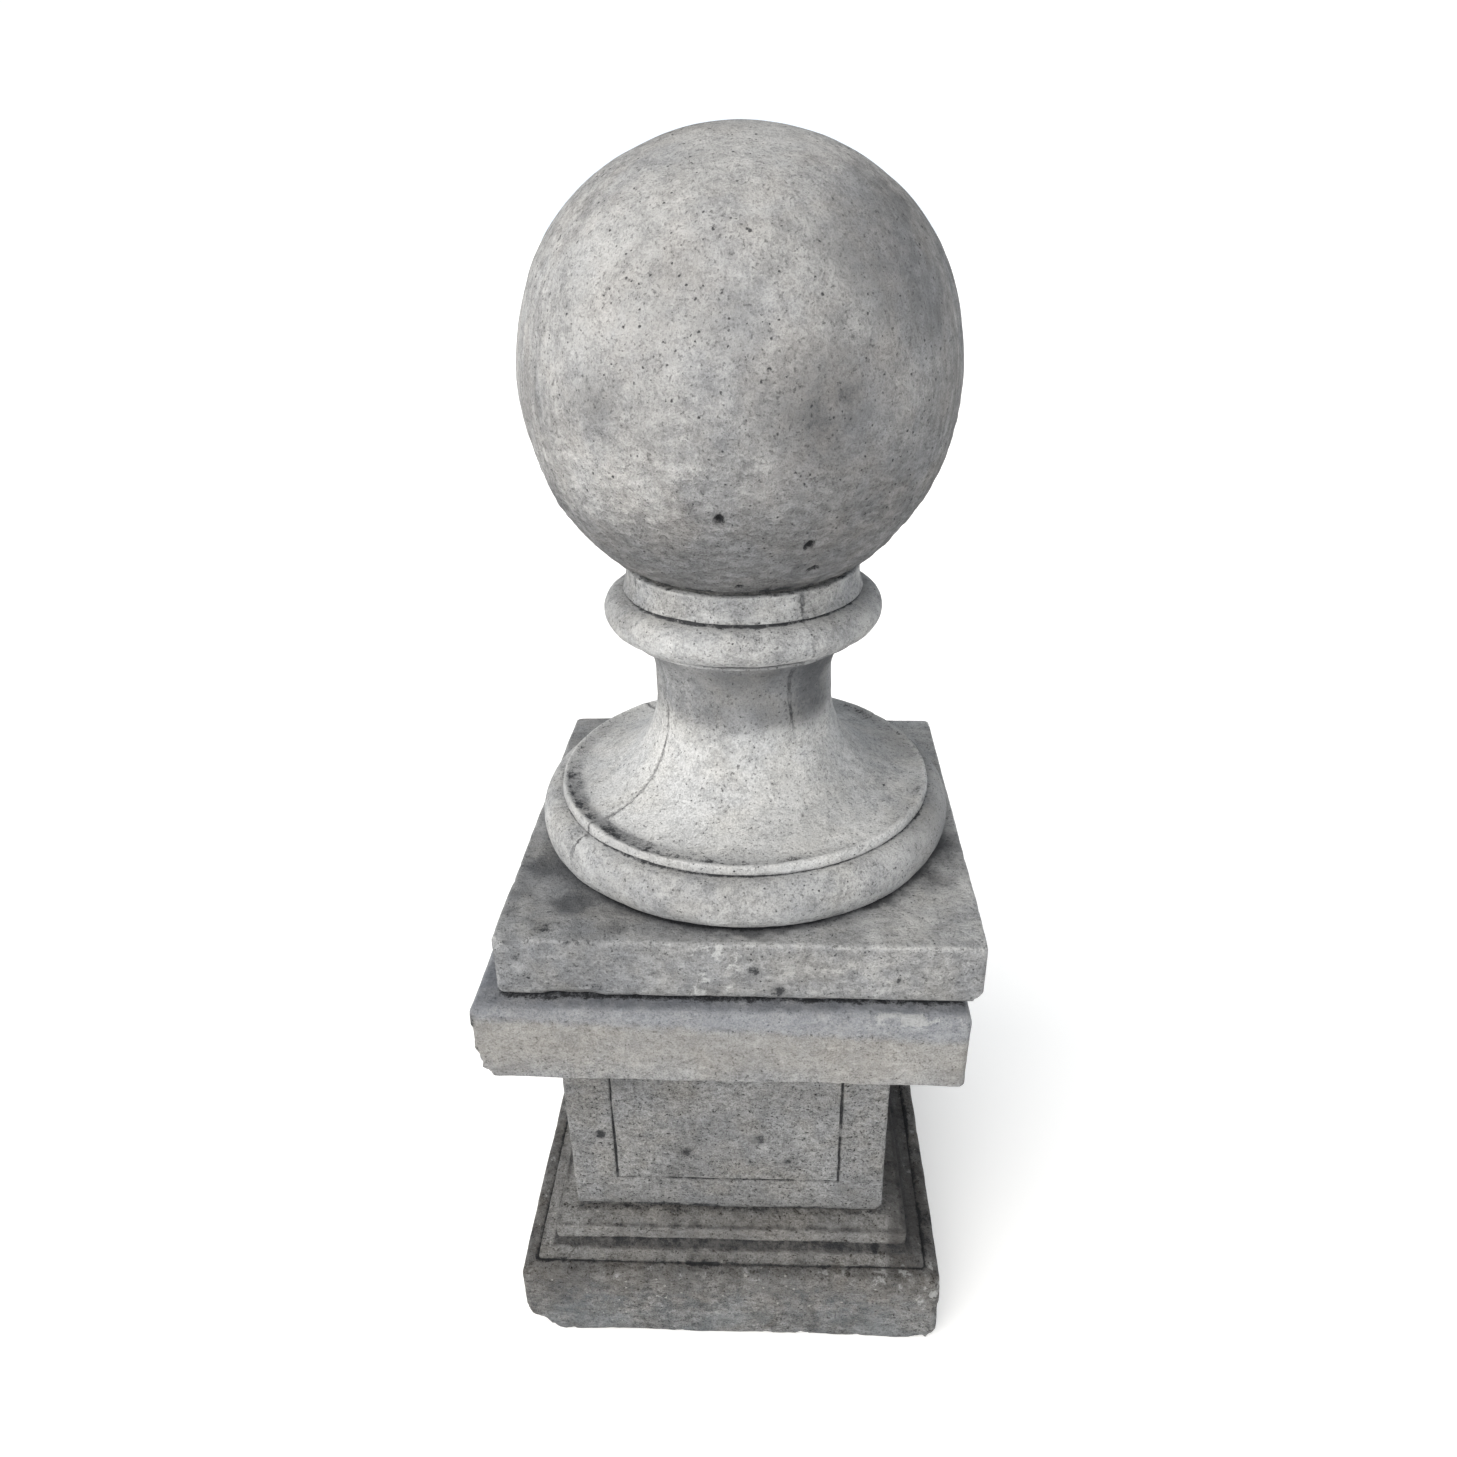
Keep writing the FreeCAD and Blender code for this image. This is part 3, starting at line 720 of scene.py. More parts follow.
def paint_socle(skin, on_stem, seam_region):
    """Dirt and painted shade in the grooves, dirt behind the rim and on the foot, painted shade on the neck
    under the high torus and on the stem's right side, and paler scuffs on the foot's face.
    """
    p = skin.points
    radius = np.hypot(p[..., 0], p[..., 1])
    z = p[..., 2]
    azimuth = np.degrees(np.arctan2(p[..., 1], p[..., 0]))
    top = ramp(z, foot_height - 5, foot_height - 1) * ramp(z, foot_height + 2, foot_height + 0.5)
    top = top * ramp(radius, 198, 200)
    foot = ramp(z, foot_height + 1, foot_height - 1)
    torn = fractal(p, 14, 4, 51)
    wide_left, wide_right = hump(azimuth, -148, 22), hump(azimuth, -48, 16)
    wide_front = hump(azimuth, -88, 14)
    ring = ramp(radius + 3 * torn, 211, 203) * top
    near_torus = ramp(radius + 12 * torn, 228 + 16 * wide_left, 204) * top
    # Dirt and painted shade in the hollows of the stem.
    hollow_dirt_and_shade = skin.hollows(5, 0.9) * on_stem
    dirty_side = (hump(azimuth, -128, 30) + 0.7 * hump(np.abs(azimuth), 170, 25) + 0.6 * hump(azimuth, 40, 26)
                  + 0.5 * hump(azimuth, -22, 14))
    by_rim = ramp(z, rim_top - 11, rim_top - 5) * ramp(z, rim_top + 16, rim_top + 2)
    inner_rim = hump(radius, 188, 3.5) * by_rim
    inner_fan = hump(radius, 183, 9) * by_rim
    right_rim = hump(azimuth, -22, 22)
    fine_torn = ramp(fractal(p, 8, 3, 64), -0.2, 1.0)
    on_collar_dirt = fine_torn * ramp(z, collar_base + 10, collar_base)
    left_torus_dirt = fine_torn * spot(p, (-112, -78, high_top - 12), 26)
    grime = (1.05 * ring + 0.75 * hollow_dirt_and_shade * (1 - 0.8 * inner_rim)
             + 0.24 * inner_rim * (1 + torn) * (0.4 + dirty_side + 0.9 * right_rim + 0.8 * wide_front)
             + 0.17 * inner_fan * (dirty_side + 0.4 * wide_front) * (1 + fractal(p, 10, 2, 52))
             + 0.3 * ramp(z, high_top - 8, high_top) * on_collar_dirt + 0.4 * left_torus_dirt
             + near_torus * (0.06 + 0.18 * wide_left + 0.34 * wide_right
                             + 0.25 * wide_front) * (1 + 0.5 * torn)
             + 0.1 * top * torn)
    face_spots = spots(p, (0.64, (-185, -213, 61), 12), (0.8, (-208, -foot_half, 46), 5),
                       (0.8, (16, -foot_half, 36), 7), (0.72, (38, -foot_half, 12), 8),
                       (0.64, (-132, -foot_half, 13), 7), (0.56, (96, -foot_half, 20), 6),
                       (0.56, (150, -foot_half, 28), 5))
    grime += face_spots * (1 + 0.35 * torn)
    grime += 0.5 * ramp(z - 1.5 * torn, socle_height - 2.5, socle_height - 0.5) * ramp(radius, 98, 102)
    grime += 0.6 * ramp(z - 2 * torn, 4, 0)
    front_arris = hump(z, foot_height - 3, 2.2) * ramp(p[..., 1], 8 - foot_half, 4 - foot_half)
    grime += 0.5 * front_arris * ramp(p[..., 0], -90, -140) * (0.7 + torn)
    shaded = np.cos(np.radians(azimuth + 5))
    on_top_spots = spots(p, (0.85, (-207, -112, foot_height), 17), (0.95, (-161, -173, foot_height), 17),
                         (0.5, (194, -118, foot_height), 17), (0.6, (213, -62, foot_height), 24),
                         (0.35, (-222, -150, foot_height), 20), (0.3, (-120, -212, foot_height), 22))
    # The neck's dark band, front and right, is painted shade below the high torus, with some dirt.
    shaded_neck_front = hump(azimuth, -80, 30) * ramp(z, neck_low - 15, neck_low + 5) * ramp(z, 288, 258)
    shaded_neck_right = hump(azimuth, -38, 22) * ramp(z, neck_low - 25, neck_low + 8) * ramp(z, high_base, 280)
    # Besides dirt, smudge paints shade below the high torus, on the neck and on the rim's right side.
    smudge = (0.9 * inner_fan * dirty_side + 0.5 * hump(radius, 205, 6) * top
              + near_torus * (0.4 + 0.3 * wide_left + 0.6 * wide_right + 0.6 * wide_front)
              + 0.12 * top * ramp(p[..., 0], 90, -120) + 0.12 * top * (1 + torn) + on_top_spots
              + 0.3 * ramp(z, neck_high, neck_high + 30) * ramp(z, high_base, high_base - 10)
              + 0.3 * shaded_neck_front + 0.78 * shaded_neck_right
              + 0.32 * on_stem * ramp(z, rim_top - 3, rim_top - 9) * ramp(shaded, 0.5, 0.95)
              + 0.22 * hump(azimuth, -100, 12) * ramp(z, collar_base + 6, collar_base + 26)
              + 0.14 * (1 - 0.8 * foot) * ramp(noise(p, 55, 53), 0.2, 0.8) + 0.06 * torn)
    bell = on_stem * ramp(z, rim_top - 12, rim_top) * ramp(z, neck_low + 12, neck_low - 35)
    high_torus = ramp(z, high_base - 2, high_base + 8) * ramp(z, high_top + 10, high_top - 4)
    neck = ramp(z, neck_low - 25, neck_low + 5) * ramp(z, high_base - 1, high_base - 22)
    # The neck's lower tone and the shaded term paint shade: the neck under the high torus and the stem's
    # right side.
    tone = (0.35 * bell + 0.12 * high_torus - 0.3 * neck + 0.02 * on_stem - 0.22 * top
            - 0.56 * foot * (1 - top) + 0.3 * foot * ramp(p[..., 0], -190, 60)
            - 0.08 * on_stem * ramp(shaded, 0.2, 0.95)
            + 0.15 * skin.edges(5, 1.2) + 0.22 * (1 - 0.6 * foot) * fractal(p, 70, 2, 54))
    scuffed = ramp(fractal(p, 8, 3, 60), 0.1, 0.8)
    scuffs = spots(p, (1, (-18, -foot_half, 52), 22), (0.7, (-16, -foot_half, 25), 13),
                   (0.7, (-30, -foot_half, 2), 26), (0.5, (-192, -foot_half, 20), 18),
                   (0.5, (205, -foot_half, 40), 22))
    pale = 1.2 * scuffed * (scuffs + 0.4 * skin.edges(3, 0.8) * foot) + 0.3 * skin.edges(4, 1.0) * foot
    seam = seam_region * ramp(fractal(p, 26, 3, 55), -0.9, 0.5)
    front_right = np.cos(np.radians(azimuth + 55)) > 0.8
    on_high_torus = ramp(z, high_base - 4, high_base + 2) * ramp(z, high_top + 4, high_top - 2)
    on_collar = ramp(z, collar_base - 2, collar_base)
    seam *= np.where(front_right, ramp(z, neck_low - 20, neck_low + 4), 1.0)
    seam *= (1 - 0.6 * on_high_torus) * (1 - 0.1 * bell)
    seam += 0.4 * top * ramp(torn, -0.9, 0.3) * ramp(p[..., 0], 0, -20)
    coarse = 0.15 + 0.3 * foot + 0.25 * on_collar
    seal_fields(skin, tone=tone, smudge=smudge, pale=pale, grime=grime, rough=coarse, seam=seam)


def seam_line(s, colour, mottle, grain):
    """The dirt that has settled in the socle's mould seams."""
    x, y, z = s.axes((ball_centre[0], ball_centre[1], 0.0))
    azimuth = s.times(s.math("ARCTAN2", y, x), math.degrees(1))
    drift = s.ramp(z, seam_high, seam_low, 0.0, seam_drift)
    turn = s.plus(azimuth, s.times(drift, -1.0), 45 - seam_start - finial_turn)
    turn = s.plus(s.math("FLOORED_MODULO", turn, 90.0), -45.0)
    radius = s.math("SQRT", s.plus(s.times(x, x), s.times(y, y)))
    away = s.math("ABSOLUTE", s.times(turn, radius, math.radians(1)))
    away = s.plus(away, s.times(s.plus(grain, -0.5), 2.2), s.times(s.plus(mottle, -0.5), 3.0))
    line = s.times(s.ramp(away, 2.4, 0.0), s.field("seam"), s.ramp(mottle, 0.15, 0.6, 0.5, 1.0))
    colour = s.mix(s.times(line, 0.75), colour, SOOT_AND_SHADE)
    return colour, s.math("SUBTRACT", 1.0, line)


def make_socle():
    skin, on_stem, seam_region = socle_skin()
    paint_socle(skin, on_stem, seam_region)
    skin.place(finial_turn, (ball_centre[0], ball_centre[1], socle_low[2]))
    piece = skin.to_object("stone_socle")
    stone = cast_stone("socle_stone_finish", 2, light=(0.59, 0.583, 0.57), dark=(0.165, 0.166, 0.168),
                       warm=(0.50, 0.46, 0.39), cool=(0.33, 0.352, 0.39), pits=0.55, pit_size=1.3,
                       contrast=1.1, cloudy=0.55, mottled=0.3, tint=0.25, grain_depth=0.6, extra=seam_line)
    stand_for(piece, "socle", stone)


# ================================================================ cap

def square_skin(outline, side_count, corner_steps, corner):
    stations = np.linspace(-1, 1, side_count)
    return Skin([raised(square_ring(stations, corner_steps, half, corner), z) for half, z in outline])


def make_cap():
    """The pedestal's top slab, its arrises worn round and its left front corner knocked."""
    low, high = box_mm("cap")
    half, height = 237.5, high[2] - low[2]
    top_arris, low_arris = 11.0, 3.0
    outline = [(20, 0), (100, 0), (165, 0), (half - 18, 0), (half - low_arris - 6, 0)]
    face = arc((half - low_arris, low_arris), low_arris, -90, 0, 2)
    face += arc((half - top_arris, height - top_arris), top_arris, 0, 90, 2.4)
    outline += filled(face, 2.7)
    outline += filled([(half - top_arris, height), (half - 45, height)], 3)[1:]
    outline += [(140, height), (20, height)]
    skin = square_skin(outline, 165, 5, 7.0)
    rng = np.random.default_rng(61)
    p = skin.points
    skin.round_off(4, 0.9 * ramp(fractal(p, 50, 2, 62), -0.5, 0.8))
    band = p[..., 2] - (height - 20 - 0.035 * p[..., 0] + 3 * noise(p, 45, 63))
    lamination = -0.25 * ramp(band, -3.0, 3.0)
    skin.push(0.9 * fractal(p, 90, 2, 64) + 0.3 * fractal(p, 15, 3, 65) + lamination - 0.4)
    skin.chip((-half, -half, 50), (-1, -0.8, 0), 70, 6, 66)
    skin.chip((-half, -half, 26), (-1, -0.6, -0.3), 44, 7, 67)
    skin.chip((-half, -half, 0), (-1, -0.5, -0.9), 60, 14, 68)
    skin.chip((-half, -half, 76), (-1, -0.8, 0.3), 40, 4, 69)
    skin.chip((half, -half, 0), (1, -1, -0.8), 16, 4, 70)
    skin.chip((half, half, 80), (1, 1, 0.8), 34, 10, 71)
    edge_chips(skin, rng, half, (0.0, height - 3), 44, (6, 16), (0.8, 2.4))
    skin.keep_between(0, height)
    p = skin.points
    z = p[..., 2]
    torn = fractal(p, 14, 4, 72)
    foot_centre = ball_centre - (low + high) / 2
    # The left front corner, the top strip beside the socle's foot and the whole top are darkened: painted
    # shade with dirt.
    left = spot(p * np.array([1, 1, 0]), (-half, -half, 0), 9)
    on_top = ramp(z, height - 5, height - 1)
    from_foot = np.maximum(np.abs(p[..., 0] - foot_centre[0]), np.abs(p[..., 1] - foot_centre[1])) - foot_half
    grime = (0.7 * ramp(from_foot + 3 * torn, 5, -3) * on_top + 0.5 * left * (1 + torn)
             + 0.1 * torn * ramp(z, height - 20, height - 8) + 0.3 * ramp(z, 4, 0))
    smudge = ((0.5 + 0.15 * torn) * on_top + 0.06 * ramp(z, height - 24, height - 10)
              + 0.16 * ramp(noise(p, 50, 73), 0.3, 0.8) + 0.06 * torn)
    scuffed = ramp(fractal(p * np.array([0.5, 1, 1]), 9, 3, 75), -0.9, 0.5)
    right_end = ramp(p[..., 0] + 20 * torn, 125, 160) * (p[..., 1] < 0)
    pale = (1.3 * scuffed * ramp(z, height - 15, height - 8) * ramp(z, height, height - 3) * right_end
            + 0.25 * skin.edges(4, 1.0))
    tone = (0.1 + 0.25 * fractal(p, 60, 3, 74) + 0.15 * ramp(p[..., 0], -120, 160)
            + 0.15 * spot(p, (10, -half, 40), 110))
    seal_fields(skin, tone=tone, smudge=smudge, pale=pale, grime=grime, rough=0.45 + 0 * z)
    centre = (low + high) / 2
    skin.place(-0.4, (centre[0], centre[1], low[2]))

    def waterline(s, colour, mottle, grain):
        """A wavy line where the stone was cast in two lifts, blue-grey above and tan below."""
        x, _, z = s.axes((centre[0], centre[1], low[2] + height - 20))
        level = s.plus(z, s.times(x, 0.035), s.times(s.plus(s.noise(70, 2), -0.5), 14),
                       s.times(s.plus(mottle, -0.5), 6))
        level = s.plus(level, s.times(s.plus(grain, -0.5), 3.5))
        above = s.ramp(level, -6.0, 5.0)
        colour = s.mix(s.times(above, 0.6), colour, s.mix(0.5, colour, (0.32, 0.345, 0.405)))
        below = s.times(s.ramp(level, 0.0, -10.0), s.ramp(level, -75.0, -30.0))
        colour = s.mix(s.times(below, 0.45), colour, s.mix(0.5, colour, (0.45, 0.405, 0.345)))
        line = s.times(s.ramp(s.math("ABSOLUTE", level), 5.0, 0.5), s.ramp(s.noise(40, 4), 0.50, 0.66))
        return s.mix(s.times(line, 0.30), colour, SOOT_AND_SHADE), mottle

    piece = skin.to_object("stone_cap")
    stone = cast_stone("cap_stone_finish", 3, light=(0.415, 0.41, 0.402), dark=(0.195, 0.195, 0.195),
                       warm=(0.375, 0.335, 0.285), cool=(0.24, 0.256, 0.285), pits=0.6, pit_size=1.4,
                       contrast=1.25, cloudy=0.7, mottled=0.4, grain_depth=0.9, extra=waterline)
    stand_for(piece, "cap", stone)


# ================================================================ die

def make_die():
    """The square block, with a thin panel line cut in each face that has broken away in places."""
    low, high = box_mm("die")
    half, height = (high[0] - low[0]) / 2, high[2] - low[2]
    panel, margin, line_width, line_depth = 123.5, 45.0, 2.6, 2.5
    across = (-3.6, -2.4, -1.5, -0.8, 0.0, 0.8, 1.5, 2.4, 3.6)
    straight = half - 3.0
    coarse = np.arange(-straight, straight + 1, 2 * straight / 122)
    near_line = np.minimum(np.abs(coarse - panel), np.abs(coarse + panel))
    fine = [side * panel + a for side in (-1, 1) for a in across]
    stations = np.sort(np.concatenate([coarse[near_line > 4.5], fine])) / straight
    levels = np.linspace(0, height, 90)
    near_line = np.minimum(np.abs(levels - margin), np.abs(levels - (height - margin)))
    fine = [z + a for z in (margin, height - margin) for a in across]
    levels = np.sort(np.concatenate([levels[near_line > 4], fine]))
    outline = [(20, 0), (100, 0), (half - 12, 0), (half - 3, 0)] + [(half, z) for z in levels]
    outline += [(half - 3, height), (half - 12, height), (100, height), (20, height)]
    skin = Skin([raised(square_ring(stations, 3, h, 3.0), z) for h, z in outline])
    p = skin.points
    rng = np.random.default_rng(81)
    skin.round_off(4, 0.8 * ramp(fractal(p, 50, 2, 82), -0.3, 0.8))

    p = skin.points
    on_front = np.abs(p[..., 1]) > np.abs(p[..., 0])
    along = np.where(on_front, p[..., 0], p[..., 1]) + 0.5 * noise(p, 18, 83)
    level = p[..., 2] + 0.5 * noise(p, 18, 84)
    within_width = np.abs(along) < panel + 1.5
    within_height = (level > margin - 1.5) & (level < height - margin + 1.5)
    upright = np.where(within_height, np.abs(np.abs(along) - panel), 99)
    flat = np.where(within_width, np.minimum(np.abs(level - margin), np.abs(level - height + margin)), 99)
    face = np.maximum(np.abs(p[..., 0]), np.abs(p[..., 1])) > half - 4
    line = ramp(np.minimum(upright, flat), 0.62 * line_width, 0.3 * line_width) * face
    kept = ramp(fractal(p, 20, 3, 85), -1.0, -0.35)
    worn_away = ramp(level, margin + 8, margin + 3) * ramp(along, 10, -10)
    worn_away = worn_away * ramp(fractal(p, 12, 2, 97), 0.3, -0.4)
    kept = kept * (1 - 0.5 * worn_away)
    skin.push(-line_depth * line * (0.25 + 0.75 * kept))
    skin.push(0.7 * fractal(p, 80, 2, 86) * face + 0.3 * fractal(p, 13, 3, 87) * face - 0.3 * face)
    skin.chip((-124, -half, 245 - low[2]), (0, -1, 0), 5, 2, 88)
    skin.chip((-139, -half, 251 - low[2]), (0, -1, 0), 6, 2.5, 89)
    skin.chip((122, -half, 270 - low[2]), (0, -1, 0), 6, 2, 90)
    skin.chip((-47, -half, 225 - low[2]), (0, -1, 0), 9, 1.8, 91)
    skin.chip((half, -half, 3), (1, -1, -0.5), 16, 4, 92)
    edge_chips(skin, rng, half, (0.0, height), 34, (5, 13), (0.8, 2.2))
    skin.keep_between(0, height)
    p = skin.points
    z = p[..., 2]
    ragged = fractal(p, 24, 3, 93)
    front_marks = spots(p + np.array([0, 0, low[2]]), (0.85, (-47, -half, 225), 8),
                        (1.3, (-139, -half, 251), 6), (0.65, (35, -half, 248), 9),
                        (0.6, (67, -half, 213), 6), (0.3, (-33, -half, 186), 10))
    grime = (0.8 * line * (0.15 + 0.85 * kept) + 0.7 * ramp(z + 3 * ragged, 5, 0)
             + 0.4 * ramp(z, height - 12, height) + front_marks)
    # The ramp near the top darkens the faces under the cap's overhang: painted shade with dirt.
    smudge = (0.26 * ramp(z + 10 * ragged, 46, 4) + 0.2 * ramp(z, height - 40, height)
              + 0.2 * ramp(noise(p, 45, 94), 0.2, 0.8) + 0.08 * fractal(p, 12, 3, 96)
              + 0.16 * hump(np.abs(along), panel, 9) * (z > 30))
    tone = 0.05 + 0.3 * fractal(p, 55, 3, 95)
    pale = 0.3 * skin.edges(4, 1.0)
    seal_fields(skin, tone=tone, smudge=smudge, pale=pale, grime=grime, rough=0.55 + 0 * z)
    skin.place(0, ((low[0] + high[0]) / 2, 0, low[2]))
    piece = skin.to_object("stone_die")
    stone = cast_stone("die_stone_finish", 4, light=(0.302, 0.3, 0.295), dark=(0.145, 0.144, 0.142),
                       warm=(0.31, 0.28, 0.235), cool=(0.2, 0.21, 0.23), pits=0.8, pit_size=1.6,
                       contrast=1.75, cloudy=0.7, mottled=0.5, grain_depth=1.2)
    stand_for(piece, "die", stone)


# ================================================================ base

def make_base():
    """The plinth with its cove, fillet and bed. It has stood in the wet, so it is the dirtiest stone, and its
    cove and right-hand ledges carry painted shade.
    """
    low, high = box_mm("base")
    half, height = (high[0] - low[0]) / 2, high[2] - low[2]
    plinth, arris, low_arris = 100.5, 6.0, 5.0
    cove_foot, cove_foot_height = 216.5, 2.0
    cove_start, cove_end = 214.5, 195.0
    fillet, fillet_low, fillet_high = 197.5, 113.5, 132.0
    outline = [(20, 0), (110, 0), (180, 0), (half - 16, 0)]
    face = arc((half - low_arris, low_arris), low_arris, -90, 0, 2.4)
    face += arc((half - arris, plinth - arris), arris, 0, 90, 2.2)
    face += [(cove_foot + 1.5, plinth), (cove_foot, plinth - 1.5), (cove_foot, plinth + cove_foot_height),
             (cove_start, plinth + cove_foot_height)]
    outline += filled(face, 2.8)
    cove_rise = fillet_low - plinth - cove_foot_height
    for t in np.linspace(0, 1, 11)[1:]:
        out = cove_start - (cove_start - cove_end) * math.sin(QUARTER * t)
        outline.append((out, fillet_low - cove_rise * math.cos(QUARTER * t)))
    outline += [(cove_end + 0.5, fillet_low + 0.6), (fillet, fillet_low + 0.4)]
    outline += filled([(fillet, fillet_low + 1), (fillet, fillet_high - 1), (fillet - 1.5, fillet_high),
                       (177.5, height), (166, height)], 2.4)
    outline += [(120, height), (20, height)]
    skin = square_skin(outline, 146, 5, 4.5)
    rng = np.random.default_rng(101)
    p = skin.points
    wear = ramp(fractal(p, 50, 2, 102), -0.4, 0.7) * np.where(p[..., 2] < plinth - 3, 1.0, 0.35)
    skin.round_off(4, 0.85 * wear)
    skin.push(1.0 * fractal(p, 90, 2, 103) + 0.42 * fractal(p, 17, 4, 104) - 0.5)
    skin.chip((-half, -half, 0), (-1, -1, -1), 60, 21, 105)
    skin.chip((-half, -half, 34), (-1, -0.7, 0), 30, 7, 106)
    skin.chip((-half + 26, -half, 0), (0, -1, -0.9), 34, 8, 107)
    skin.chip((half, -half, 0), (1, -1, -0.9), 46, 14, 108)
    skin.chip((half, -half, 88), (1, -1, 0.7), 22, 5, 109)
    skin.chip((half, -half, 50), (1, -0.8, 0), 22, 4, 110)
    skin.chip((half, half, 0), (1, 1, -1), 52, 18, 111)
    skin.chip((-half, half, 90), (-1, 1, 0.8), 30, 9, 112)
    edge_chips(skin, rng, half, (1.0, plinth - 2), 60, (7, 22), (1.0, 3.4))
    edge_chips(skin, rng, fillet, (fillet_low + 1, fillet_high), 22, (5, 9), (0.6, 1.6))
    skin.keep_between(0, height)
    p = skin.points
    z = p[..., 2]
    out = np.maximum(np.abs(p[..., 0]), np.abs(p[..., 1]))
    ragged = fractal(p, 30, 3, 113)
    # Dirt and painted shade in the hollows.
    hollow_dirt_and_shade = skin.hollows(5, 0.9)
    torn = fractal(p, 13, 4, 116)
    # The cove's darkening is painted shade along with dirt.
    cove = ramp(z, plinth + 1, plinth + 3) * ramp(z, fillet_low + 2, fillet_low - 3)
    cove = cove * ramp(out + 1.5 * torn, 206, 200)
    arris_stain = ramp(z, plinth - 22, plinth - 5) * ramp(z, plinth + 3, plinth - 1)
    ledge_line = ramp(np.abs(out - fillet + 2 + 1.5 * torn), 5, 1) * ramp(z, fillet_high - 3, fillet_high)
    on_top = ramp(z, plinth, plinth + 2)
    foot_line = hump(out - 1.5 * torn, cove_foot + 1.5, 2.5) * ramp(z, plinth - 3, plinth - 1)
    bed_line = ramp(out + 2 * torn, 180, 174) * ramp(z, fillet_high, fillet_high + 1)
    grime = (0.55 * hollow_dirt_and_shade * ramp(z, 15, 25) + 0.42 * cove + 0.4 * arris_stain * ramp(ragged, -0.3, 0.7)
             + 0.5 * foot_line + 0.2 * ramp(ragged, 0.2, 1.1) + 0.42 * bed_line
             + 0.3 * ledge_line + 0.4 * ramp(z, 10, 0) + 0.1 * torn * on_top)
    # The ledges on the right side are darkened: painted shade, with algae.
    shaded_right_ledges = ramp(p[..., 0], 170, 182) * ramp(z, plinth - 1, plinth + 2)
    smudge = (0.85 * cove + 0.45 * ledge_line + 0.16 * ramp(z, plinth - 40, plinth)
              + 0.2 * ramp(noise(p, 60, 114), 0.1, 0.7) + 0.5 * shaded_right_ledges + 0.1 * torn)
    tone = (0.25 * fractal(p, 50, 3, 115) + 0.15 * ramp(z, 70, 20) - 1.3 * shaded_right_ledges
            + 1.5 * on_top + 0.35 * ramp(z, fillet_low, fillet_low + 3)
            + 0.5 * ramp(z, fillet_high - 1, fillet_high) + 0.25 * spot(p, (145, -half, 70), 40))
    scuffed = ramp(fractal(p, 9, 3, 117), 0.0, 0.9)
    near_arris = ramp(z, plinth - 14, plinth - 6) * ramp(z, plinth + 3, plinth + 1)
    pale = (scuffed * spots(p, (1.2, (214, -half, 88), 26), (0.7, (half, -half, 40), 30))
            + 0.3 * spot(p, (-90, -half, 52), 35) + 0.2 * on_top * ramp(out, cove_foot, cove_foot - 3)
            + 0.5 * ramp(scuffed, 0.5, 1.0) * near_arris)
    seal_fields(skin, tone=tone, smudge=smudge, pale=pale, grime=grime, rough=0.8 + 0 * z)
    skin.place(0, (0, 0, low[2]))

    def damp(s, colour, mottle, grain):
        """Brown dirt over the upper faces and a blue-grey bloom low on the plinth."""
        _, _, z = s.axes()
        high = s.ramp(s.plus(z, s.times(s.plus(mottle, -0.5), 70)), 40.0, 90.0)
        colour = s.mix(s.times(high, 0.45), colour, s.mix(0.5, colour, (0.15, 0.125, 0.10)))
        low_down = s.ramp(s.plus(z, s.times(s.plus(mottle, -0.5), 60)), 75.0, 25.0)
        bloom = s.times(low_down, s.ramp(s.noise(45, 4), 0.4, 0.6))
        colour = s.mix(s.times(bloom, 0.6), colour, s.mix(0.5, colour, (0.22, 0.25, 0.27)))
        return colour, mottle

    piece = skin.to_object("stone_base")
    stone = cast_stone("base_stone_finish", 5, light=(0.29, 0.287, 0.28), dark=(0.10, 0.099, 0.098),
                       warm=(0.235, 0.2, 0.16), cool=(0.185, 0.205, 0.225), pits=0.6, pit_size=1.7, grit=0.3,
                       contrast=1.85, cloudy=1.1, mottled=0.75, grain_depth=1.4, extra=damp)
    stand_for(piece, "base", stone)


# ================================================================ mortar beds

def mortar_edge(out, thickness):
    """The edge of a bed, its corners cut off a little."""
    corner, inset = 0.8, 0.6
    return filled([(out - inset, 0), (out, corner), (out, thickness - corner), (out - inset, thickness)], 0.9)


def ragged_mortar(name, skin, high, seed):
    """Gives a bed its torn edge and its dirt, and makes it into an object."""
    p = skin.points
    outside = ramp(np.hypot(p[..., 0], p[..., 1]), hole_radius + 12, hole_radius + 30)
    skin.push(1.1 * fractal(p, 14, 3, seed) * outside)
    skin.keep_between(0, high)
    p = skin.points
    grime = 0.35 + 0.25 * fractal(p, 12, 2, seed + 5)
    tone = 0.2 * fractal(p, 20, 2, seed + 9)
    seal_fields(skin, tone=tone, smudge=0.3 + 0 * grime, grime=grime, rough=1 + 0 * grime)
    return skin.to_object(name)


def make_square_mortar(node, seed, material):
    low, high = box_mm(node)
    half, thickness = (high[0] - low[0]) / 2, high[2] - low[2]
    outline = [(20, 0), (100, 0), (half - 8, 0), (half - 3, 0)]
    outline += mortar_edge(half, thickness)
    outline += [(half - 3, thickness), (half - 8, thickness), (100, thickness), (20, thickness)]
    skin = square_skin(outline, 170, 3, 3.0)
    edge = ramp(np.maximum(np.abs(skin.points[..., 0]), np.abs(skin.points[..., 1])), half - 9, half - 1)
    squeezed = 2.2 * fractal(skin.points * np.array([1, 1, 0]), 26, 3, seed) * edge
    away = skin.points * np.array([1, 1, 0])
    away /= np.maximum(np.linalg.norm(away, axis=-1, keepdims=True), 1e-6)
    skin.points = skin.points + away * squeezed[..., None]
    piece = ragged_mortar("bed_" + node, skin, thickness, seed)
    piece.data.transform(Matrix.Translation((0, 0, low[2] / TO_MM)))
    stand_for(piece, node, material)


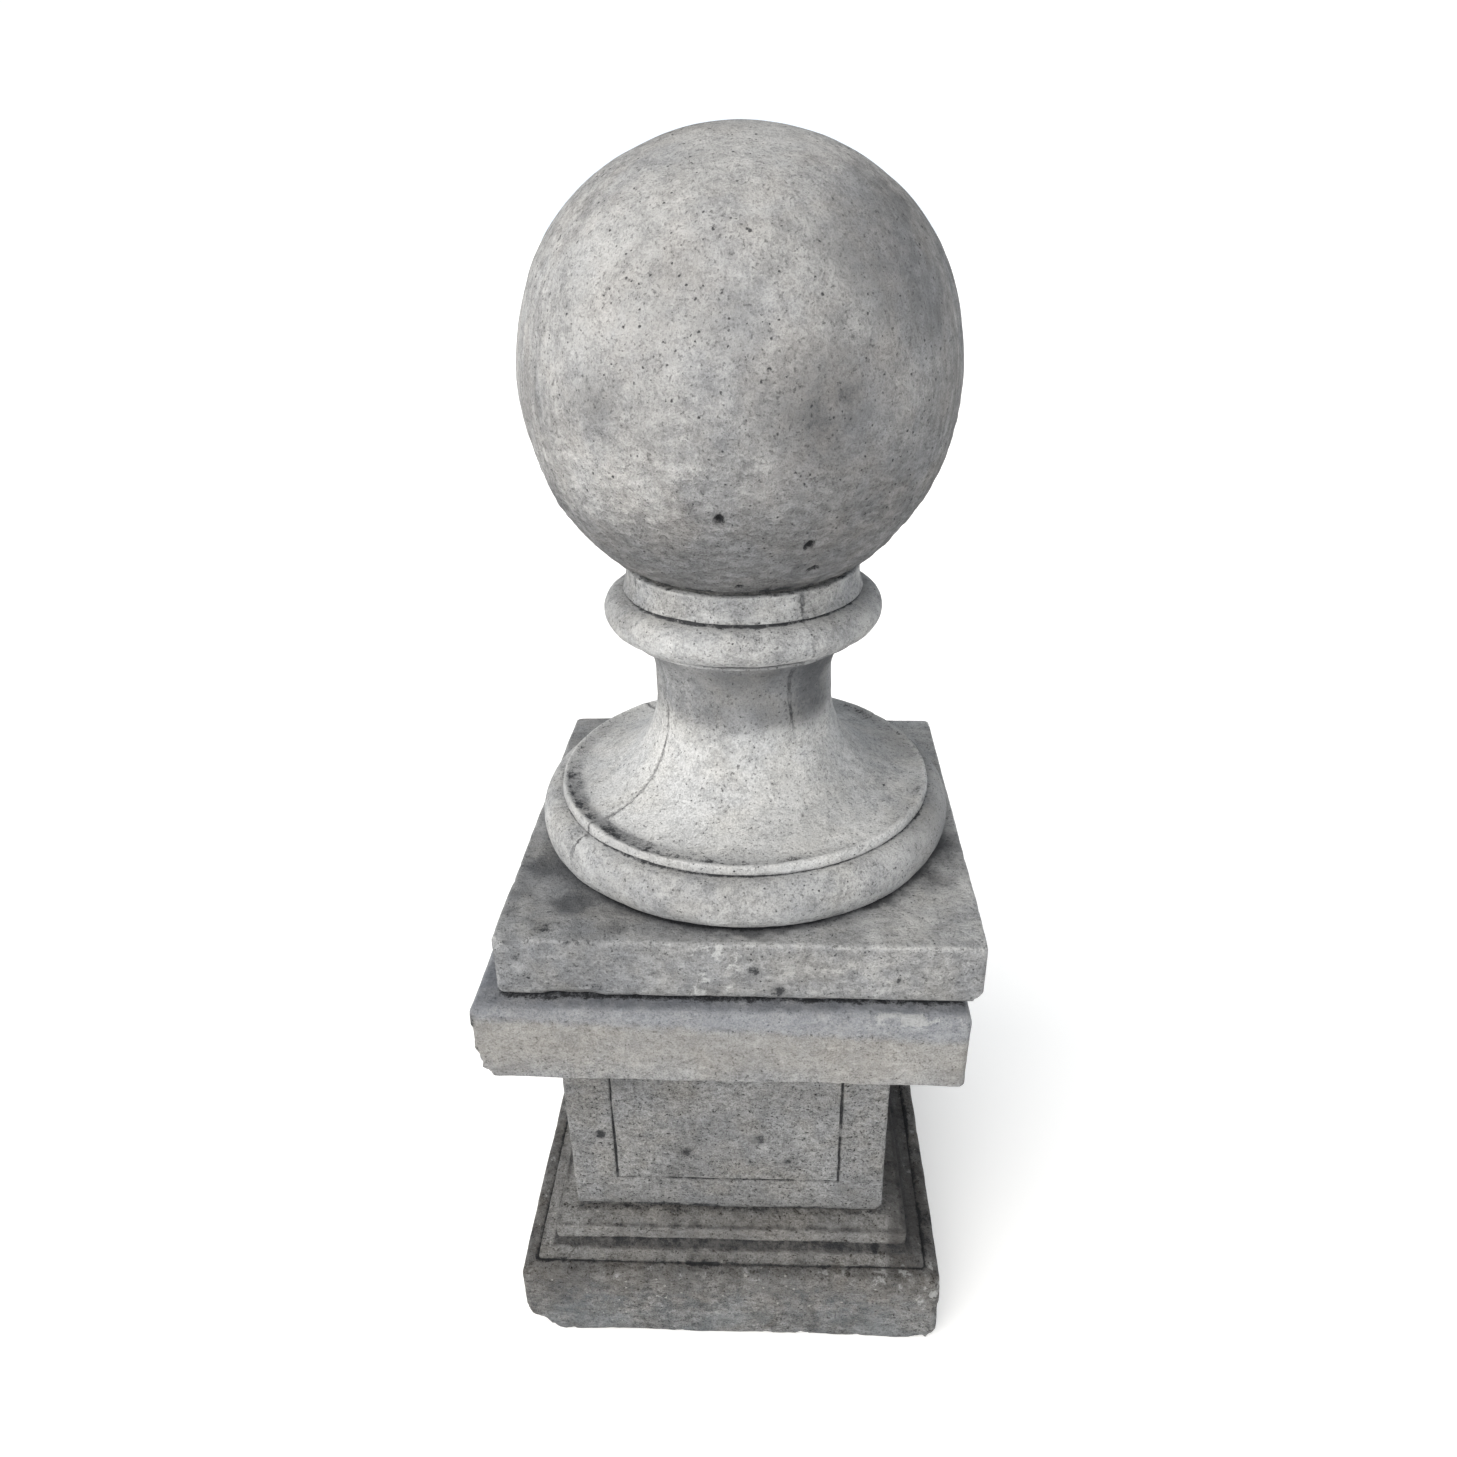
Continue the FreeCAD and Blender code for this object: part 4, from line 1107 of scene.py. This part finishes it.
def make_ball_mortar(material):
    """The bed under the ball: a ring with the dowel hole through it."""
    low, high = box_mm("ball_mortar")
    radius, thickness = (high[0] - low[0]) / 2, high[2] - low[2]
    outline = [(hole_radius, thickness), (hole_radius, 0), (40, 0), (80, 0), (radius - 8, 0)]
    outline += mortar_edge(radius, thickness)
    outline += [(radius - 8, thickness), (80, thickness), (40, thickness)]
    angles = round_angles(100, 4)
    skin = Skin([raised(round_ring(angles, r), z) for r, z in outline], tube=True)
    edge = ramp(np.hypot(skin.points[..., 0], skin.points[..., 1]), radius - 9, radius - 1)
    swollen = 2.0 * fractal(skin.points * np.array([1, 1, 0]), 24, 3, 141)
    scale = 1 + edge * swollen / radius
    skin.points = skin.points * np.stack([scale, scale, np.ones_like(scale)], -1)
    piece = ragged_mortar("bed_ball_mortar", skin, thickness, 142)
    piece.data.transform(Matrix.Translation((ball_centre[0] / TO_MM, ball_centre[1] / TO_MM, low[2] / TO_MM)))
    stand_for(piece, "ball_mortar", material)


# ================================================================ dowel

def finish_dowel():
    """Brushed steel for the hidden bar, whose CAD shape is kept."""
    s = Stone("dowel_steel_finish", 7)
    brushed = s.noise(0.6, 3, 0.6, stretch=(1.0, 1.0, 0.02))
    rust = s.ramp(s.noise(9, 5, 0.65), 0.52, 0.66)
    colour = s.mix(rust, s.mix(brushed, (0.42, 0.42, 0.43), (0.60, 0.60, 0.61)), (0.20, 0.09, 0.045))
    s.feed(s.shader.inputs["Metallic"], s.plus(1.0, s.times(rust, -0.9)))
    roughness = s.plus(0.32, s.times(brushed, 0.12), s.times(rust, 0.4))
    material = s.finish(colour, roughness, [(brushed, 0.03), (rust, 0.1)])
    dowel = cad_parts["ball_dowel"]
    dowel.data.materials.clear()
    dowel.data.materials.append(material)


make_base()
make_die()
make_cap()
make_socle()
make_ball()
mortar = cast_stone("mortar_finish", 6, light=(0.22, 0.215, 0.2), dark=(0.08, 0.078, 0.074),
                    warm=(0.2, 0.17, 0.13), cool=(0.16, 0.17, 0.18), pits=0.6, pit_size=1.2, grain_depth=0.9)
make_square_mortar("die_mortar", 121, mortar)
make_square_mortar("cap_mortar", 131, mortar)
make_ball_mortar(mortar)
finish_dowel()


# ================================================================ floor, light and camera

def plain_material(name, colour, roughness, glow):
    material = bpy.data.materials.new(name)
    material.use_nodes = True
    shader = material.node_tree.nodes["Principled BSDF"]
    shader.inputs["Base Color"].default_value = (*colour, 1)
    shader.inputs["Roughness"].default_value = roughness
    shader.inputs["Emission Color"].default_value = (*colour, 1)
    shader.inputs["Emission Strength"].default_value = glow
    return material


def make_floor():
    """A pale floor that glows a little, like a light table, so the shadow on it stays faint."""
    half = 30.0
    mesh = bpy.data.meshes.new("floor")
    corners = [(-half, -half, 0), (half, -half, 0), (half, half, 0), (-half, half, 0)]
    mesh.from_pydata(corners, [], [(0, 1, 2, 3)])
    mesh.materials.append(plain_material("floor_finish", (0.86, 0.852, 0.84), roughness=0.9, glow=0.34))
    floor = bpy.data.objects.new("floor", mesh)
    bpy.context.scene.collection.objects.link(floor)


def soft_sun(name, coming_from, strength, spread_degrees, colour):
    lamp = bpy.data.lights.new(name, "SUN")
    lamp.angle = math.radians(spread_degrees)
    lamp.energy = strength
    lamp.color = colour
    holder = bpy.data.objects.new(name, lamp)
    holder.rotation_euler = (-Vector(coming_from)).to_track_quat("-Z", "Y").to_euler()
    bpy.context.scene.collection.objects.link(holder)


def light_world(low_sky, high_sky, right_share, colour):
    """A pale sky, bright near the horizon like a studio's curved wall, with a dimmer ceiling on the right."""
    world = bpy.data.worlds.new("soft_sky")
    bpy.context.scene.world = world
    world.use_nodes = True
    nodes, links = world.node_tree.nodes, world.node_tree.links
    direction = nodes.new("ShaderNodeSeparateXYZ")
    links.new(nodes.new("ShaderNodeTexCoord").outputs["Generated"], direction.inputs[0])
    to_the_right = (-0.1, 0.5, high_sky, high_sky * right_share)
    climbing = (0.22, 0.75, low_sky, high_sky)
    fades = {}
    for axis, values in (("X", to_the_right), ("Z", climbing)):
        fades[axis] = nodes.new("ShaderNodeMapRange")
        fades[axis].interpolation_type = "SMOOTHSTEP"
        for socket, value in zip(list(fades[axis].inputs)[1:5], values):
            socket.default_value = value
        links.new(direction.outputs[axis], fades[axis].inputs[0])
    links.new(fades["X"].outputs[0], fades["Z"].inputs[4])
    nodes["Background"].inputs["Color"].default_value = (*colour, 1)
    links.new(fades["Z"].outputs[0], nodes["Background"].inputs["Strength"])


def set_camera():
    """A phone's main camera held at eye height, looking down at the finial."""
    place = Vector((0.0461, -0.9784, 1.1691))
    yaw, pitch, roll = -0.0475, 0.4773, -0.0189
    forward = Vector((math.sin(yaw) * math.cos(pitch), math.cos(yaw) * math.cos(pitch), -math.sin(pitch)))
    level = Vector((math.cos(yaw), -math.sin(yaw), 0))
    above = level.cross(forward)
    right = level * math.cos(roll) + above * math.sin(roll)
    up = above * math.cos(roll) - level * math.sin(roll)
    camera = bpy.data.cameras.new("camera")
    camera.lens = 25.79
    camera.sensor_width = 36.0
    holder = bpy.data.objects.new("camera", camera)
    turn = Matrix((right, up, -forward)).transposed().to_4x4()
    holder.matrix_world = Matrix.Translation(place) @ turn
    bpy.context.scene.collection.objects.link(holder)
    bpy.context.scene.camera = holder


make_floor()
soft_sun("key", (-0.50, -0.70, 0.74), 3.45, 75, (1.0, 0.972, 0.93))
light_world(1.14, 0.50, 0.12, (0.89, 0.95, 1.02))
set_camera()
bpy.context.scene.view_settings.view_transform = "Standard"
